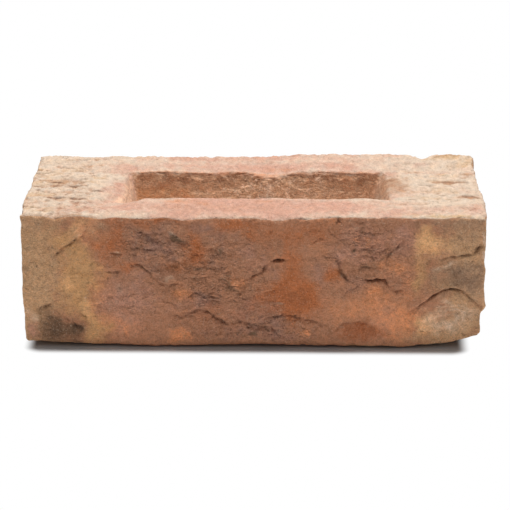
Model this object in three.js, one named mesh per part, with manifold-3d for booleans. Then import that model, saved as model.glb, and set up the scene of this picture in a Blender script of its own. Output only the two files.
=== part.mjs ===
// A hand-moulded facing brick of fired clay, one solid piece, with a frog in its upper bed.
// Millimetres, +Z up. X runs along the stretchers, Y from the front stretcher to the back one,
// and the origin is the middle of the lower bed. The two long sides are the stretchers, the two
// short ends the headers, and the edges between faces the arrises.

import * as THREE from "three";
import { mergeVertices } from "three/addons/utils/BufferGeometryUtils.js";
import Module from "manifold-3d";

const wasm = await Module();
wasm.setup();

// ---- The brick's work size and its arrises.
const BRICK_LENGTH = 215;
const BRICK_WIDTH = 102.5;
const BRICK_HEIGHT = 65;
const UPPER_ARRIS_RADIUS = 1.1;
const LOWER_ARRIS_RADIUS = 2.4;
const FACET_PITCH = 6;

// ---- The frog: the recess that the kick, a block on the mould's base, leaves for the mortar.
const FROG_LENGTH = 124;
const FROG_WIDTH = 45;
const FROG_DEPTH = 15;
const FROG_DRAFT = THREE.MathUtils.degToRad(20);
const FROG_STEEPNESS = 1 / Math.tan(FROG_DRAFT);
const FROG_CORNER_RADIUS = 9;
const FROG_FOOT_BLEND = 3;
const FROG_SIDE_LIP = 1.5;
const FROG_LEFT_LIP = 2.4;
const FROG_RIGHT_LIP = 4.5;
const FROG_END_SET_IN = 1;
const FROG_END_STEEPENING = 1.2;
const FROG_BACK_SHIFT = 2;
const FROG_RING_POINTS = 96;

// The bed dips towards the frog's two ends, and is scooped out by its front left corner.
const DIP_DEPTH = 2.1;
const DIP_REACH = 7.5;
const DIP_STARTS_BEFORE_END = 12;
const DIP_FULL_BEFORE_END = 3;
const SCOOP_X = -64;
const SCOOP_Y = -24;
const SCOOP_DEPTH = 1.7;
const SCOOP_REACH = 8;

// Clay that slumped into the frog over its back lip before firing.
const SLUMP_X = 7;
const SLUMP_REACH = 9;
const SLUMP_OVERHANG = 4;
const SLUMP_SINK = 2;
const SLUMP_SINK_REACH = 7;

// ---- How far the clay's faces stray from the mould's planes, before and after firing.
const STRETCHER_BELLY = 0.9;
const STRETCHER_WAVE = 0.6;
const STRETCHER_WAVE_LENGTH = 46;
const UPPER_BED_CURL = 2;
const UPPER_BED_WAVE = 0.5;
const UPPER_BED_WAVE_LENGTH = 34;

// Headers swell towards the front stretcher and under the upper bed, and draw in at their foot.
// A knock is a local rise, or a fall where it is negative, with a place along an edge and a reach.
const HEADER_WAVE = 0.6;
const HEADER_WAVE_LENGTH = 38;
const HEADER_BROW_Z = 60;
const LEFT_HEADER = {
  phase: 1.1,
  swell: 0.9,
  brow: 0.7,
  foot: { z: 14, rise: -1.2, reach: 16 },
  knocks: [],
};
const RIGHT_HEADER = {
  phase: 2.9,
  swell: 1.5,
  brow: 0,
  foot: { z: 15, rise: -1.9, reach: 3 },
  knocks: [
    { place: 35, rise: -0.7, reach: 9 },
    { place: -23, rise: 0.6, reach: 7 },
  ],
};

// On the front stretcher, below the arched fold, the clay never filled the mould's corner.
const SLACK_X = 97;
const SLACK_Z = 12;
const SLACK_REACH_X = 17;
const SLACK_REACH_Z = 12;
const SLACK_DEPTH = 1.8;

// The lower bed's rim turns up, and more so at the two front corners.
const LOWER_RIM_LIFT = 1.1;
const LOWER_RIM_REACH = 9;
const LOWER_FRONT_KNOCKS = [
  { place: -42, rise: -0.6, reach: 12 },
  { place: 4, rise: 0.8, reach: 12 },
  { place: 82.5, rise: 1.9, reach: 5 },
];
const LEFT_CORNER_LIFT = 1.6;
const LEFT_CORNER_REACH = 38;
const RIGHT_CORNER_LIFT = 4.2;
const RIGHT_CORNER_REACH = 26;
const CORNER_REACH_ACROSS = 24;

// The upper arrises are worn down, and knocked in places.
const UPPER_ARRIS_WEAR = 0.35;
const UPPER_ARRIS_REACH = 5;
const UPPER_FRONT_KNOCKS = [
  { place: -101, rise: 0.6, reach: 7 },
  { place: -46, rise: -0.5, reach: 8 },
  { place: -33, rise: -1.3, reach: 4.6 },
  { place: 11, rise: -1, reach: 5 },
  { place: 36, rise: 0.6, reach: 5 },
  { place: 45, rise: 0.6, reach: 6 },
  { place: 62, rise: 0.65, reach: 7 },
  { place: 94, rise: 0.7, reach: 5 },
];
const UPPER_BACK_KNOCKS = [
  { place: -70, rise: 0.7, reach: 6 },
  { place: -25, rise: 0.35, reach: 22 },
  { place: 83, rise: -2.4, reach: 4.5 },
];

// Level lands that are left true: the mortar's seats beside the frog and on the headers.
const BED_LAND_HALF_WIDTH = 30;
const BED_LAND_END_MARGIN = 9;
const HEADER_LAND_Y = 16;
const HEADER_LAND_HALF_SIZE = 13;
const LAND_FADE = 8;

// The folds of the front stretcher, where one roll of clay lapped over the next as the clot was
// thrown. Each runs through a few places, as distances along X and up Z. The lean is how far the
// fold's bottom lies under the roll above it, and a negative one lies under the roll below.
const FOLD_STEP = 2.5;
const FOLD_OPENING = 1;
const FOLDS = [
  {
    name: "pit",
    places: [[15.2, 44.5], [9.7, 43.8], [4.3, 38.3], [1, 36], [-4.4, 33], [-9.8, 30.1]],
    width: 1.3,
    depth: 2.2,
    lean: 0.4,
  },
  {
    name: "long lap",
    places: [[-37, 15.8], [-25.8, 18.8], [-14.7, 12.6], [-6.1, 12.3], [1.5, 10.3], [12, 6]],
    width: 1.5,
    depth: 1.3,
    lean: 0.6,
  },
  {
    name: "bump",
    places: [[38.6, 46.6], [39.6, 41.8], [40.3, 38.3], [45, 32.8]],
    width: 1.2,
    depth: 1,
    lean: -0.4,
  },
  {
    name: "step",
    places: [[51, 34.2], [57.4, 33.7], [61.9, 32], [65.3, 28.5], [72.4, 29.9]],
    width: 1.5,
    depth: 2,
    lean: 0.8,
  },
  {
    name: "arch",
    places: [[71.2, 16.6], [81, 23.5], [88.8, 28], [96.6, 26.8], [102.9, 18.5], [105.5, 15.6]],
    width: 1.8,
    depth: 2.4,
    lean: 1.2,
  },
  {
    name: "upper lap",
    places: [[86.1, 43.4], [96, 44.8], [102.8, 46.5], [105.4, 50.4]],
    width: 1.1,
    depth: 1.2,
    lean: -0.4,
  },
  {
    name: "right lap",
    places: [[69.8, 53.5], [63.6, 47.3], [61.8, 40.8]],
    width: 1.1,
    depth: 1,
    lean: 0.3,
  },
  {
    name: "left lap",
    places: [[-93.6, 45.3], [-84.6, 50.8], [-75.4, 59.3]],
    width: 1.1,
    depth: 1,
    lean: 0.3,
  },
  {
    name: "middle lap",
    places: [[-59, 43], [-51, 40.3], [-45.6, 34.3], [-36.6, 32.5]],
    width: 1.1,
    depth: 1,
    lean: 0.4,
  },
];

const FIRED_CLAY_COLOUR = 0xb06f4a;

// ---- Small functions of one number.

const { smoothstep, lerp } = THREE.MathUtils;

// A bell that is 1 at 0 and fades to nothing by about twice the reach.
const bell = (offset, reach) => Math.exp(-((offset / reach) ** 2));

// A gentle wave between about -1 and 1 along a line, which doesn't repeat over the brick's length.
const wander = (s, length, phase) =>
  0.6 * Math.sin((2 * Math.PI * s) / length + phase) +
  0.4 * Math.sin((2 * Math.PI * s * 1.73) / length + 2.1 * phase);

// The same over a face: three trains of waves that cross at odd angles.
const uneven = (u, v, length, phase) =>
  0.5 * wander(0.91 * u + 0.41 * v, length, phase) +
  0.35 * wander(-0.57 * u + 0.82 * v, 0.66 * length, phase + 1.3) +
  0.3 * wander(0.26 * u + 0.97 * v, 0.47 * length, phase + 4.1);

// 0 inside a land of that half size, 1 where the land has faded out.
const outsideLand = (offset, halfSize) =>
  smoothstep(Math.abs(offset), halfSize, halfSize + LAND_FADE);

const knocked = (knocks, s) =>
  knocks.reduce((sum, { place, rise, reach }) => sum + rise * bell(s - place, reach), 0);

// 0 below minus the softness, the value itself above it, and a parabola that joins the two.
function roundedRamp(value, softness) {
  if (value < -softness) return 0;
  return value > softness ? value : (value + softness) ** 2 / (4 * softness);
}

// ---- How far each face strays along its outward normal, at a place on that face.

// Stretchers swell between their arrises and are wavy all over.
function stretcherStray(x, z, phase) {
  const alongShare = (2 * x) / BRICK_LENGTH;
  const upShare = (2 * z) / BRICK_HEIGHT - 1;
  const belly = STRETCHER_BELLY * (1 - alongShare ** 2) * (1 - upShare ** 4);
  return belly + STRETCHER_WAVE * uneven(x, z, STRETCHER_WAVE_LENGTH, phase);
}

// The front stretcher falls away below the arched fold too.
function frontStray(x, z) {
  const slack = bell(x - SLACK_X, SLACK_REACH_X) * bell(z - SLACK_Z, SLACK_REACH_Z);
  return stretcherStray(x, z, 0.4) - SLACK_DEPTH * slack;
}

// Headers are wavy too, and true on their land.
function headerStray({ phase, swell, brow, foot, knocks }, y, z) {
  const free = Math.max(
    outsideLand(y - HEADER_LAND_Y, HEADER_LAND_HALF_SIZE),
    outsideLand(z - BRICK_HEIGHT / 2, HEADER_LAND_HALF_SIZE),
  );
  const towardsFront = swell * smoothstep(-y, 2, 2 + LAND_FADE);
  const underBed = brow * smoothstep(z, HEADER_BROW_Z, BRICK_HEIGHT);
  const knockRise = knocked(knocks, y) * smoothstep(z, HEADER_BROW_Z - 10, HEADER_BROW_Z);
  const drawnIn = foot.rise * (1 - smoothstep(z, foot.z - foot.reach, foot.z + foot.reach));
  const waves = HEADER_WAVE * uneven(y, z, HEADER_WAVE_LENGTH, phase);
  return free * (towardsFront + underBed + knockRise + drawnIn + waves);
}

// How far in from the frog's nominal lip a place on the bed is.
function frogInset(x, y) {
  const beyondX = Math.abs(x) - FROG_LENGTH / 2 + FROG_CORNER_RADIUS;
  const beyondY = Math.abs(y - FROG_BACK_SHIFT) - FROG_WIDTH / 2 + FROG_CORNER_RADIUS;
  const outside = Math.hypot(Math.max(beyondX, 0), Math.max(beyondY, 0));
  return FROG_CORNER_RADIUS - outside - Math.min(Math.max(beyondX, beyondY), 0);
}

// How far the bed dips at the frog's ends, by the distance along X and the inset.
function dip(x, inset) {
  const toEnd = FROG_LENGTH / 2 - Math.abs(x);
  const atEnd = 1 - smoothstep(toEnd, DIP_FULL_BEFORE_END, DIP_STARTS_BEFORE_END);
  return DIP_DEPTH * atEnd * smoothstep(inset, -DIP_REACH, 1);
}

// The upper bed curls up towards its back arris, is worn at both long arrises, and is true on the
// lands at its two ends.
function upperBedStray(x, y) {
  const frogEnd = FROG_LENGTH / 2 + DIP_REACH;
  const landHalfLength = (BRICK_LENGTH / 2 - BED_LAND_END_MARGIN - frogEnd) / 2;
  const landCentre = frogEnd + landHalfLength;
  const free = Math.max(
    outsideLand(Math.abs(x) - landCentre, landHalfLength),
    outsideLand(y, BED_LAND_HALF_WIDTH),
  );
  const backArris = BRICK_WIDTH / 2 - y;
  const frontArris = BRICK_WIDTH / 2 + y;
  const curl =
    UPPER_BED_CURL *
    smoothstep(y, 0.5 * BED_LAND_HALF_WIDTH, BRICK_WIDTH / 2) *
    smoothstep(x, -0.1 * BRICK_LENGTH, 0.2 * BRICK_LENGTH);
  const frontRise = knocked(UPPER_FRONT_KNOCKS, x) - UPPER_ARRIS_WEAR;
  const front = frontRise * bell(frontArris, UPPER_ARRIS_REACH);
  const back = knocked(UPPER_BACK_KNOCKS, x) * bell(backArris, UPPER_ARRIS_REACH);
  const waves = UPPER_BED_WAVE * uneven(x, y, UPPER_BED_WAVE_LENGTH, 0.7);
  const backLip = FROG_WIDTH / 2 + FROG_BACK_SHIFT;
  const slump = SLUMP_SINK * bell(x - SLUMP_X, SLUMP_REACH) * bell(y - backLip, SLUMP_SINK_REACH);
  const scoop = SCOOP_DEPTH * bell(x - SCOOP_X, SCOOP_REACH) * bell(y - SCOOP_Y, SCOOP_REACH);
  return free * (curl + waves) + front + back - slump - scoop - dip(x, frogInset(x, y));
}

// The lower bed is true, apart from its rim and its two front corners, which turn up.
function lowerBedStray(x, y) {
  const endGap = BRICK_LENGTH / 2 - Math.abs(x);
  const sideGap = BRICK_WIDTH / 2 - Math.abs(y);
  const rimGap = Math.min(endGap, sideGap);
  const frontGap = BRICK_WIDTH / 2 + y;
  const rim = LOWER_RIM_LIFT * (1 - smoothstep(rimGap, 0, LOWER_RIM_REACH));
  const knocks = knocked(LOWER_FRONT_KNOCKS, x) * (1 - smoothstep(frontGap, 0, LOWER_RIM_REACH));
  const across = 1 - smoothstep(frontGap, 0, CORNER_REACH_ACROSS);
  const cornerReach = x > 0 ? RIGHT_CORNER_REACH : LEFT_CORNER_REACH;
  const cornerLift = x > 0 ? RIGHT_CORNER_LIFT : LEFT_CORNER_LIFT;
  const corner = cornerLift * across * (1 - smoothstep(endGap, 0, cornerReach));
  return rim + knocks + corner;
}

// ---- The body: a box with facets, its arrises rounded, then each face moved by its stray.

// Lines across one side: close together round each arris, and about a facet's pitch apart between.
function facetLines(size) {
  const radius = (UPPER_ARRIS_RADIUS + LOWER_ARRIS_RADIUS) / 2;
  const bend = radius * Math.tan(Math.PI / 8);
  const flat = size - 2 * radius;
  const count = Math.max(2, Math.round(flat / FACET_PITCH));
  const between = Array.from({ length: count + 1 }, (_, i) => (i / count - 0.5) * flat);
  const half = size / 2;
  const arris = [half, half - radius + bend];
  return [...arris.map((s) => -s), ...between, ...arris.reverse()];
}

// A point of the box's skin, with the box's middle as origin, on the box with rounded arrises. The
// radius grows evenly from the upper arrises to the lower ones.
function roundArrises(point, half) {
  const radius = lerp(LOWER_ARRIS_RADIUS, UPPER_ARRIS_RADIUS, (point.z / half.z + 1) / 2);
  const core = half.clone().subScalar(radius);
  const inside = point.clone().clamp(core.clone().negate(), core);
  const outward = point.clone().sub(inside).normalize();
  return inside.addScaledVector(outward, radius);
}

// Each pair of opposite faces moves by its own strays, and what lies between them in proportion.
function strayed(point, half) {
  const { x, y } = point;
  const z = point.z + half.z;
  const left = -headerStray(LEFT_HEADER, y, z);
  const right = headerStray(RIGHT_HEADER, y, z);
  const front = -frontStray(x, z);
  const back = stretcherStray(x, z, 3.3);
  return new THREE.Vector3(
    x + lerp(left, right, (x / half.x + 1) / 2),
    y + lerp(front, back, (y / half.y + 1) / 2),
    z + lerp(lowerBedStray(x, y), upperBedStray(x, y), z / BRICK_HEIGHT),
  );
}

function bodyGeometry() {
  const size = new THREE.Vector3(BRICK_LENGTH, BRICK_WIDTH, BRICK_HEIGHT);
  const half = size.clone().multiplyScalar(0.5);
  const lines = size.toArray().map(facetLines);
  const counts = lines.map((line) => line.length - 1);
  const geometry = new THREE.BoxGeometry(1, 1, 1, ...counts);
  const places = geometry.getAttribute("position");
  for (let i = 0; i < places.count; i++) {
    const [x, y, z] = new THREE.Vector3()
      .fromBufferAttribute(places, i)
      .toArray()
      .map((share, axis) => lines[axis][Math.round((share + 0.5) * counts[axis])]);
    const place = strayed(roundArrises(new THREE.Vector3(x, y, z), half), half);
    places.setXYZ(i, place.x, place.y, place.z);
  }
  return geometry;
}

// ---- The kick: a loft of rounded rectangles from the frog's floor to above the bed.

// A closed ring of evenly spaced points round a rectangle with round corners, at a height.
function roundedRing(halfLength, halfWidth, radius, z) {
  const outline = new THREE.Shape();
  const [x, y] = [halfLength - radius, halfWidth - radius];
  outline.absarc(x, y, radius, 0, Math.PI / 2);
  outline.absarc(-x, y, radius, Math.PI / 2, Math.PI);
  outline.absarc(-x, -y, radius, Math.PI, 1.5 * Math.PI);
  outline.absarc(x, -y, radius, 1.5 * Math.PI, 2 * Math.PI);
  outline.closePath();
  return outline
    .getSpacedPoints(FROG_RING_POINTS)
    .slice(0, FROG_RING_POINTS)
    .map((p) => new THREE.Vector3(p.x, p.y, z));
}

// How deep a drafted wall with a rounded lip lies under the bed, by the inset from the lip.
const sideFall = (inset) => FROG_STEEPNESS * roundedRamp(inset, FROG_SIDE_LIP);

// The end walls are set in and steeper, and start from the dip in the bed.
function endFall(inset, lip) {
  const run = roundedRamp(inset - FROG_END_SET_IN, lip);
  const wall = FROG_END_STEEPENING * FROG_STEEPNESS * run;
  return wall + dip(FROG_LENGTH / 2 - inset, inset);
}

// The inset at which a wall has fallen that deep, sought between two insets by halving.
function insetAt(depth, fall, low, high) {
  for (let i = 0; i < 30; i++) {
    const middle = (low + high) / 2;
    if (fall(middle) < depth) low = middle;
    else high = middle;
  }
  return high;
}

// The lesser of the wall's depth and the floor's, with the corner between them filled.
function joinedToFloor(wallDepth) {
  const gap = (FROG_DEPTH - wallDepth) / FROG_FOOT_BLEND;
  const share = THREE.MathUtils.clamp(0.5 + 0.5 * gap, 0, 1);
  return lerp(FROG_DEPTH, wallDepth, share) - FROG_FOOT_BLEND * share * (1 - share);
}

// The kick's ring where its walls, if no floor stopped them, would be that deep under the bed.
function kickRing(wallDepth) {
  const deepest = FROG_WIDTH / 2;
  const side = insetAt(wallDepth, sideFall, -FROG_SIDE_LIP, deepest);
  const [left, right] = [FROG_LEFT_LIP, FROG_RIGHT_LIP].map(
    (lip) =>
      FROG_LENGTH / 2 -
      insetAt(wallDepth, (inset) => endFall(inset, lip), FROG_END_SET_IN - lip, deepest),
  );
  const ring = roundedRing(
    (left + right) / 2,
    FROG_WIDTH / 2 - side,
    Math.max(1, FROG_CORNER_RADIUS - side),
    BRICK_HEIGHT - joinedToFloor(wallDepth),
  );
  return ring.map((p) => {
    const x = p.x + (right - left) / 2;
    const slump = p.y > 0 ? SLUMP_OVERHANG * bell(x - SLUMP_X, SLUMP_REACH) : 0;
    return new THREE.Vector3(x, p.y - slump + FROG_BACK_SHIFT, p.z);
  });
}

// A closed skin over rings of equally many points, from the lowest ring to the highest.
function loft(rings) {
  const count = rings[0].length;
  const middle = (ring) =>
    ring.reduce((sum, p) => sum.add(p), new THREE.Vector3()).divideScalar(count);
  const places = [...rings.flat(), middle(rings[0]), middle(rings.at(-1))];
  const [bottom, top] = [places.length - 2, places.length - 1];
  const triangles = [];
  for (let i = 0; i < count; i++) {
    const next = (i + 1) % count;
    for (let r = 0; r + 1 < rings.length; r++) {
      const [low, high] = [r * count, (r + 1) * count];
      triangles.push(low + i, low + next, high + next);
      triangles.push(low + i, high + next, high + i);
    }
    const last = (rings.length - 1) * count;
    triangles.push(bottom, next, i);
    triangles.push(top, last + i, last + next);
  }
  return new THREE.BufferGeometry().setFromPoints(places).setIndex(triangles);
}

function kickGeometry() {
  const aboveBed = 2 * UPPER_BED_CURL;
  const lip = [0, 0.1, 0.3, 0.6, 1].map((share) => share * FROG_STEEPNESS * FROG_SIDE_LIP);
  const wall = [0.4, 0.5, 0.6, 0.7].map((share) => share * FROG_DEPTH);
  const foot = [-1, -0.5, 0, 0.5, 1].map((share) => FROG_DEPTH + share * FROG_FOOT_BLEND);
  const rings = [...lip, ...wall, ...foot].map(kickRing);
  const top = rings[0].map((p) => new THREE.Vector3(p.x, p.y, p.z + aboveBed));
  return loft([top, ...rings].reverse());
}

// ---- The folds: tapered grooves let into the front stretcher, three-sided in section.

function foldGeometry({ places, width, depth, lean }) {
  const onFront = ([x, z]) => new THREE.Vector3(x, -BRICK_WIDTH / 2 - frontStray(x, z), z);
  const route = new THREE.CatmullRomCurve3(places.map(onFront), false, "centripetal");
  const steps = Math.ceil(route.getLength() / FOLD_STEP);
  const outward = new THREE.Vector3(0, -1, 0);
  const rings = Array.from({ length: steps + 1 }, (_, i) => {
    const middle = route.getPointAt(i / steps);
    const across = route.getTangentAt(i / steps).cross(outward).normalize();
    const up = Math.sign(across.z) || 1;
    const fullness = 0.15 + 0.85 * Math.sqrt(Math.sin((Math.PI * i) / steps));
    const corner = (out, aside) =>
      middle.clone().addScaledVector(outward, out).addScaledVector(across, aside);
    return [
      corner(FOLD_OPENING, (-fullness * width) / 2),
      corner(FOLD_OPENING, (fullness * width) / 2),
      corner(-fullness * depth, up * fullness * lean),
    ];
  });
  return loft(rings);
}

// ---- Booleans.

function solidOf(geometry) {
  const bare = geometry.clone();
  bare.deleteAttribute("normal");
  bare.deleteAttribute("uv");
  const merged = mergeVertices(bare, 1e-4);
  return new wasm.Manifold(
    new wasm.Mesh({
      numProp: 3,
      vertProperties: merged.getAttribute("position").array,
      triVerts: new Uint32Array(merged.index.array),
    }),
  );
}

function geometryOf(solid) {
  const { vertProperties, triVerts } = solid.getMesh();
  const geometry = new THREE.BufferGeometry();
  geometry.setAttribute("position", new THREE.BufferAttribute(vertProperties, 3));
  geometry.setIndex(new THREE.BufferAttribute(triVerts, 1));
  geometry.computeVertexNormals();
  return geometry;
}

// ---- The brick.

const firedClay = new THREE.MeshStandardMaterial({
  name: "fired_clay",
  color: FIRED_CLAY_COLOUR,
  roughness: 0.95,
  metalness: 0,
});

const cutters = [kickGeometry(), ...FOLDS.map(foldGeometry)].map(solidOf);
const clayBody = cutters.reduce((body, cutter) => body.subtract(cutter), solidOf(bodyGeometry()));
const brick = new THREE.Mesh(geometryOf(clayBody), firedClay);
brick.name = "brick";

const part = new THREE.Group();
part.add(brick);

export default part;
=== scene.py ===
"""A hand-moulded facing brick of fired clay, dressed over its solid.

The brick is one skin: a fine lattice on a box, whose arrises are rounded and whose faces are moved
by the belly of the clay, the frog, the folds where one roll of clay lapped over the next, and the
sand of the mould. Lengths are millimetres until the mesh is written in metres. X runs along the
stretchers, Y from the front one to the back one, Z up, and the origin is the middle of the lower bed.
"""

from __future__ import annotations

import itertools
import logging
import math
from dataclasses import dataclass, field
from enum import Enum
from typing import Iterable

import bpy
import numpy as np
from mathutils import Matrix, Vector


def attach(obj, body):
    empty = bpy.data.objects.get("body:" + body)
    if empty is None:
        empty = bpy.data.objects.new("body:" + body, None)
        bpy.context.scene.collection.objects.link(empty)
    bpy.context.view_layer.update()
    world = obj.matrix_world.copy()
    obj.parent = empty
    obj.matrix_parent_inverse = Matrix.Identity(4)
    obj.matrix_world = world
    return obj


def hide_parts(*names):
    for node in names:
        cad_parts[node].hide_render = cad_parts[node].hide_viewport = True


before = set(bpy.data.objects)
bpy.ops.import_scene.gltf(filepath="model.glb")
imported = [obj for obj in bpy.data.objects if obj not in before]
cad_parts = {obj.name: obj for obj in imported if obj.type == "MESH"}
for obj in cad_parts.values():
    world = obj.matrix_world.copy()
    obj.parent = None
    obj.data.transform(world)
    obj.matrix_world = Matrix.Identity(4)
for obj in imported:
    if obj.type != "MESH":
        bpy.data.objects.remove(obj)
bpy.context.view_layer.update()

LOG = logging.getLogger("brick")
METRES = 0.001
Array = np.ndarray

# Each wave train's direction along and up, its share of the wave length, its lag and its height.
WAVE_TRAINS = (
    (0.91, 0.41, 1.0, 0.0, 0.5),
    (-0.57, 0.82, 0.66, 1.3, 0.35),
    (0.26, 0.97, 0.47, 4.1, 0.3),
)

# Gradient noise: large primes for the hash of a cell's place and seed, the shifts that mix its
# bits, how many bits are kept, and the factor that brings the values to about -1 and 1.
HASH_PRIMES = np.array([73856093, 19349663, 83492791])
SEED_PRIME = 2654435761
MIXING_PRIME = 1274126177
MIXING_SHIFT = 13
DRAWING_SHIFT = 9
HASH_MASK = 0x7FFFFFFF
NOISE_GAIN = 1.4
EDGE_SLOPES = np.array(
    [s for s in itertools.product((-1.0, 0.0, 1.0), repeat=3) if np.count_nonzero(s) == 2]
)

# How many sheets of the noise the mottles are spread over, how finely the density of lines is
# summed, and how square a patch is: 2 is a bell, and a higher number has a steeper edge.
MOTTLE_SHEETS = 17
STATION_SAMPLES = 6001
PATCH_SQUARENESS = 2.3


# Small functions of whole arrays


def smoothstep(value: Array, low: float, high: float) -> Array:
    """0 below low, 1 above high, and 3t² - 2t³ between them, with t the share of the way."""
    share = np.clip((value - low) / (high - low), 0.0, 1.0)
    return share * share * (3.0 - 2.0 * share)


def bell(offset: Array, reach: float) -> Array:
    """e to the minus (offset / reach)²: 1 at no offset, next to nothing at twice the reach."""
    return np.exp(-((offset / reach) ** 2))


def rounded_ramp(value: Array, softness: Array) -> Array:
    """0 below -softness, the value itself above +softness, and a parabola that joins the two."""
    bend = (value + softness) ** 2 / (4.0 * softness)
    return np.where(value < -softness, 0.0, np.where(value > softness, value, bend))


def wander(place: Array, length: float, phase: float) -> Array:
    """Two sines, one 1.73 times as fast as the other, so that the wave doesn't repeat."""
    turns = 2.0 * math.pi * place / length
    return 0.6 * np.sin(turns + phase) + 0.4 * np.sin(1.73 * turns + 2.1 * phase)


def uneven(u: Array, v: Array, length: float, phase: float) -> Array:
    """The sum of the wave trains over a face, which cross at odd angles.

    Args:
        u: distances along the face.
        v: distances up or across the face.
        length: the longest train's wave length.
        phase: picks another run of the waves.

    Returns:
        The height at each place, about -1 to 1.
    """
    return sum(
        height * wander(along * u + up * v, share * length, phase + lag)
        for along, up, share, lag, height in WAVE_TRAINS
    )


def noise(points: Array, seed: int) -> Array:
    """Gradient noise between about -1 and 1, with cells of size 1.

    Each corner of the cell that holds a point has a slope, one of a cube's twelve edge directions,
    which a hash of its place picks. The value is the blend of the eight slopes' ramps by the fade
    6t⁵ - 15t⁴ + 10t³ along each axis.

    Args:
        points: places, one row of three numbers each.
        seed: a whole number that picks another pattern.

    Returns:
        One value per row.
    """
    cell = np.floor(points)
    offset = points - cell
    cell = cell.astype(np.int64)
    fade = offset**3 * (offset * (offset * 6.0 - 15.0) + 10.0)
    total = np.zeros(len(points))
    for corner in itertools.product((0, 1), repeat=3):
        shift = np.array(corner)
        at = cell + shift
        hashed = at * HASH_PRIMES
        mixed = hashed[:, 0] ^ hashed[:, 1] ^ hashed[:, 2] ^ seed * SEED_PRIME
        mixed = (mixed ^ (mixed >> MIXING_SHIFT)) * MIXING_PRIME & HASH_MASK
        slope = EDGE_SLOPES[(mixed >> DRAWING_SHIFT) % len(EDGE_SLOPES)]
        ramp = np.einsum("ij,ij->i", slope, offset - shift)
        total += ramp * np.prod(np.where(shift, fade, 1.0 - fade), axis=1)
    return NOISE_GAIN * total


def layered_noise(points: Array, pitch: float, layers: int, seed: int) -> Array:
    """Noise of one pitch, plus half as much of half the pitch, and so on for some layers."""
    parts = [noise(points * 2.0**i / pitch, seed + i) * 0.5**i for i in range(layers)]
    return np.sum(parts, axis=0)


def sheet(u: Array, v: Array, layer: float = 0.0) -> Array:
    """Places on a face as rows of three numbers, the last of them the same for all."""
    return np.stack([u, v, np.full(np.shape(u), layer)], axis=1)


def mottle(u: Array, v: Array, pitch: float, seed: int, low: float, high: float) -> Array:
    """Blotches between 0 and 1: layered noise that goes through a smooth step from low to high."""
    return smoothstep(layered_noise(sheet(u, v, seed % MOTTLE_SHEETS), pitch, 3, seed), low, high)


def stations(size: float, pitch: float, fine: Iterable[tuple[float, float, float]]) -> Array:
    """Places across one side of the box, closer together inside fine bands.

    The density of lines is one per pitch, times a band's fineness inside that band, with the
    band's edges faded by a fourth-power bell. Its running sum is cut into equal steps.

    Args:
        size: the side's length; the places run from minus half of it to plus half.
        pitch: the plain distance between lines.
        fine: bands as centre, half width and fineness.

    Returns:
        The places, in order.
    """
    place = np.linspace(-size / 2.0, size / 2.0, STATION_SAMPLES)
    density = np.full(place.shape, 1.0 / pitch)
    for centre, half_width, fineness in fine:
        density *= 1.0 + (fineness - 1.0) * np.exp(-(((place - centre) / half_width) ** 4))
    steps = (density[1:] + density[:-1]) / 2.0 * np.diff(place)
    run = np.concatenate([[0.0], np.cumsum(steps)])
    return np.interp(np.linspace(0.0, run[-1], round(run[-1]) + 1), run, place)


def box_skin(counts: tuple[int, int, int]) -> tuple[Array, Array]:
    """The lattice on a box's skin.

    Each of the six faces is a grid of quads that turn anticlockwise seen from outside. Corners
    with the same whole-number place are one vertex, so the skin is closed.

    Args:
        counts: the number of quads along X, Y and Z.

    Returns:
        The lattice place of each vertex, and the four vertices of each quad.
    """
    faces = []
    for axis, end in itertools.product(range(3), (0, 1)):
        across, up = (axis + 1) % 3, (axis + 2) % 3
        u, v = np.meshgrid(np.arange(counts[across]), np.arange(counts[up]), indexing="ij")
        turn = ((0, 0), (1, 0), (1, 1), (0, 1)) if end else ((0, 0), (0, 1), (1, 1), (1, 0))
        quads = np.full((u.size, 4, 3), end * counts[axis])
        quads[:, :, across] = u.reshape(-1, 1) + np.array(turn)[:, 0]
        quads[:, :, up] = v.reshape(-1, 1) + np.array(turn)[:, 1]
        faces.append(quads)
    quads = np.concatenate(faces)
    shape = tuple(count + 1 for count in counts)
    keys = np.ravel_multi_index(tuple(np.moveaxis(quads, 2, 0)), shape)
    found, index = np.unique(keys, return_inverse=True)
    lattice = np.stack(np.unravel_index(found, shape), axis=1)
    return lattice, index.reshape(-1, 4)


# What lies on the faces


class Clay(Enum):
    """The colours of the fired clay and its sand, and where it has crumbled.

    Three of them also carry painted light and shade: the shade, the chalk and the powder.
    """

    CRUMBLED = "crumbled"
    PURPLE = "purple"
    RUST = "rust"
    ROSE = "rose"
    PEACH = "peach"
    GOLD = "gold"
    BUFF = "buff"
    GREY = "grey"
    OCHRE = "ochre"
    MAROON = "maroon"
    CREAM = "cream"
    PINK = "pink"
    WALL = "wall"
    TAN = "tan"
    BLUSH = "blush"
    STRAW = "straw"
    ASH = "ash"
    # Partly a painted highlight: on the folds' lips and along the right end of the front.
    CHALK_AND_PAINTED_HIGHLIGHT = "chalk_and_painted_highlight"
    # Painted shade under the frog's back lip, and darker mottles low in the frog.
    SHADE = "shade"
    # Pale powder in the frog, and painted light on its left end slope.
    POWDER_AND_PAINTED_LIGHT = "powder_and_painted_light"
    SOIL = "soil"


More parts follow.
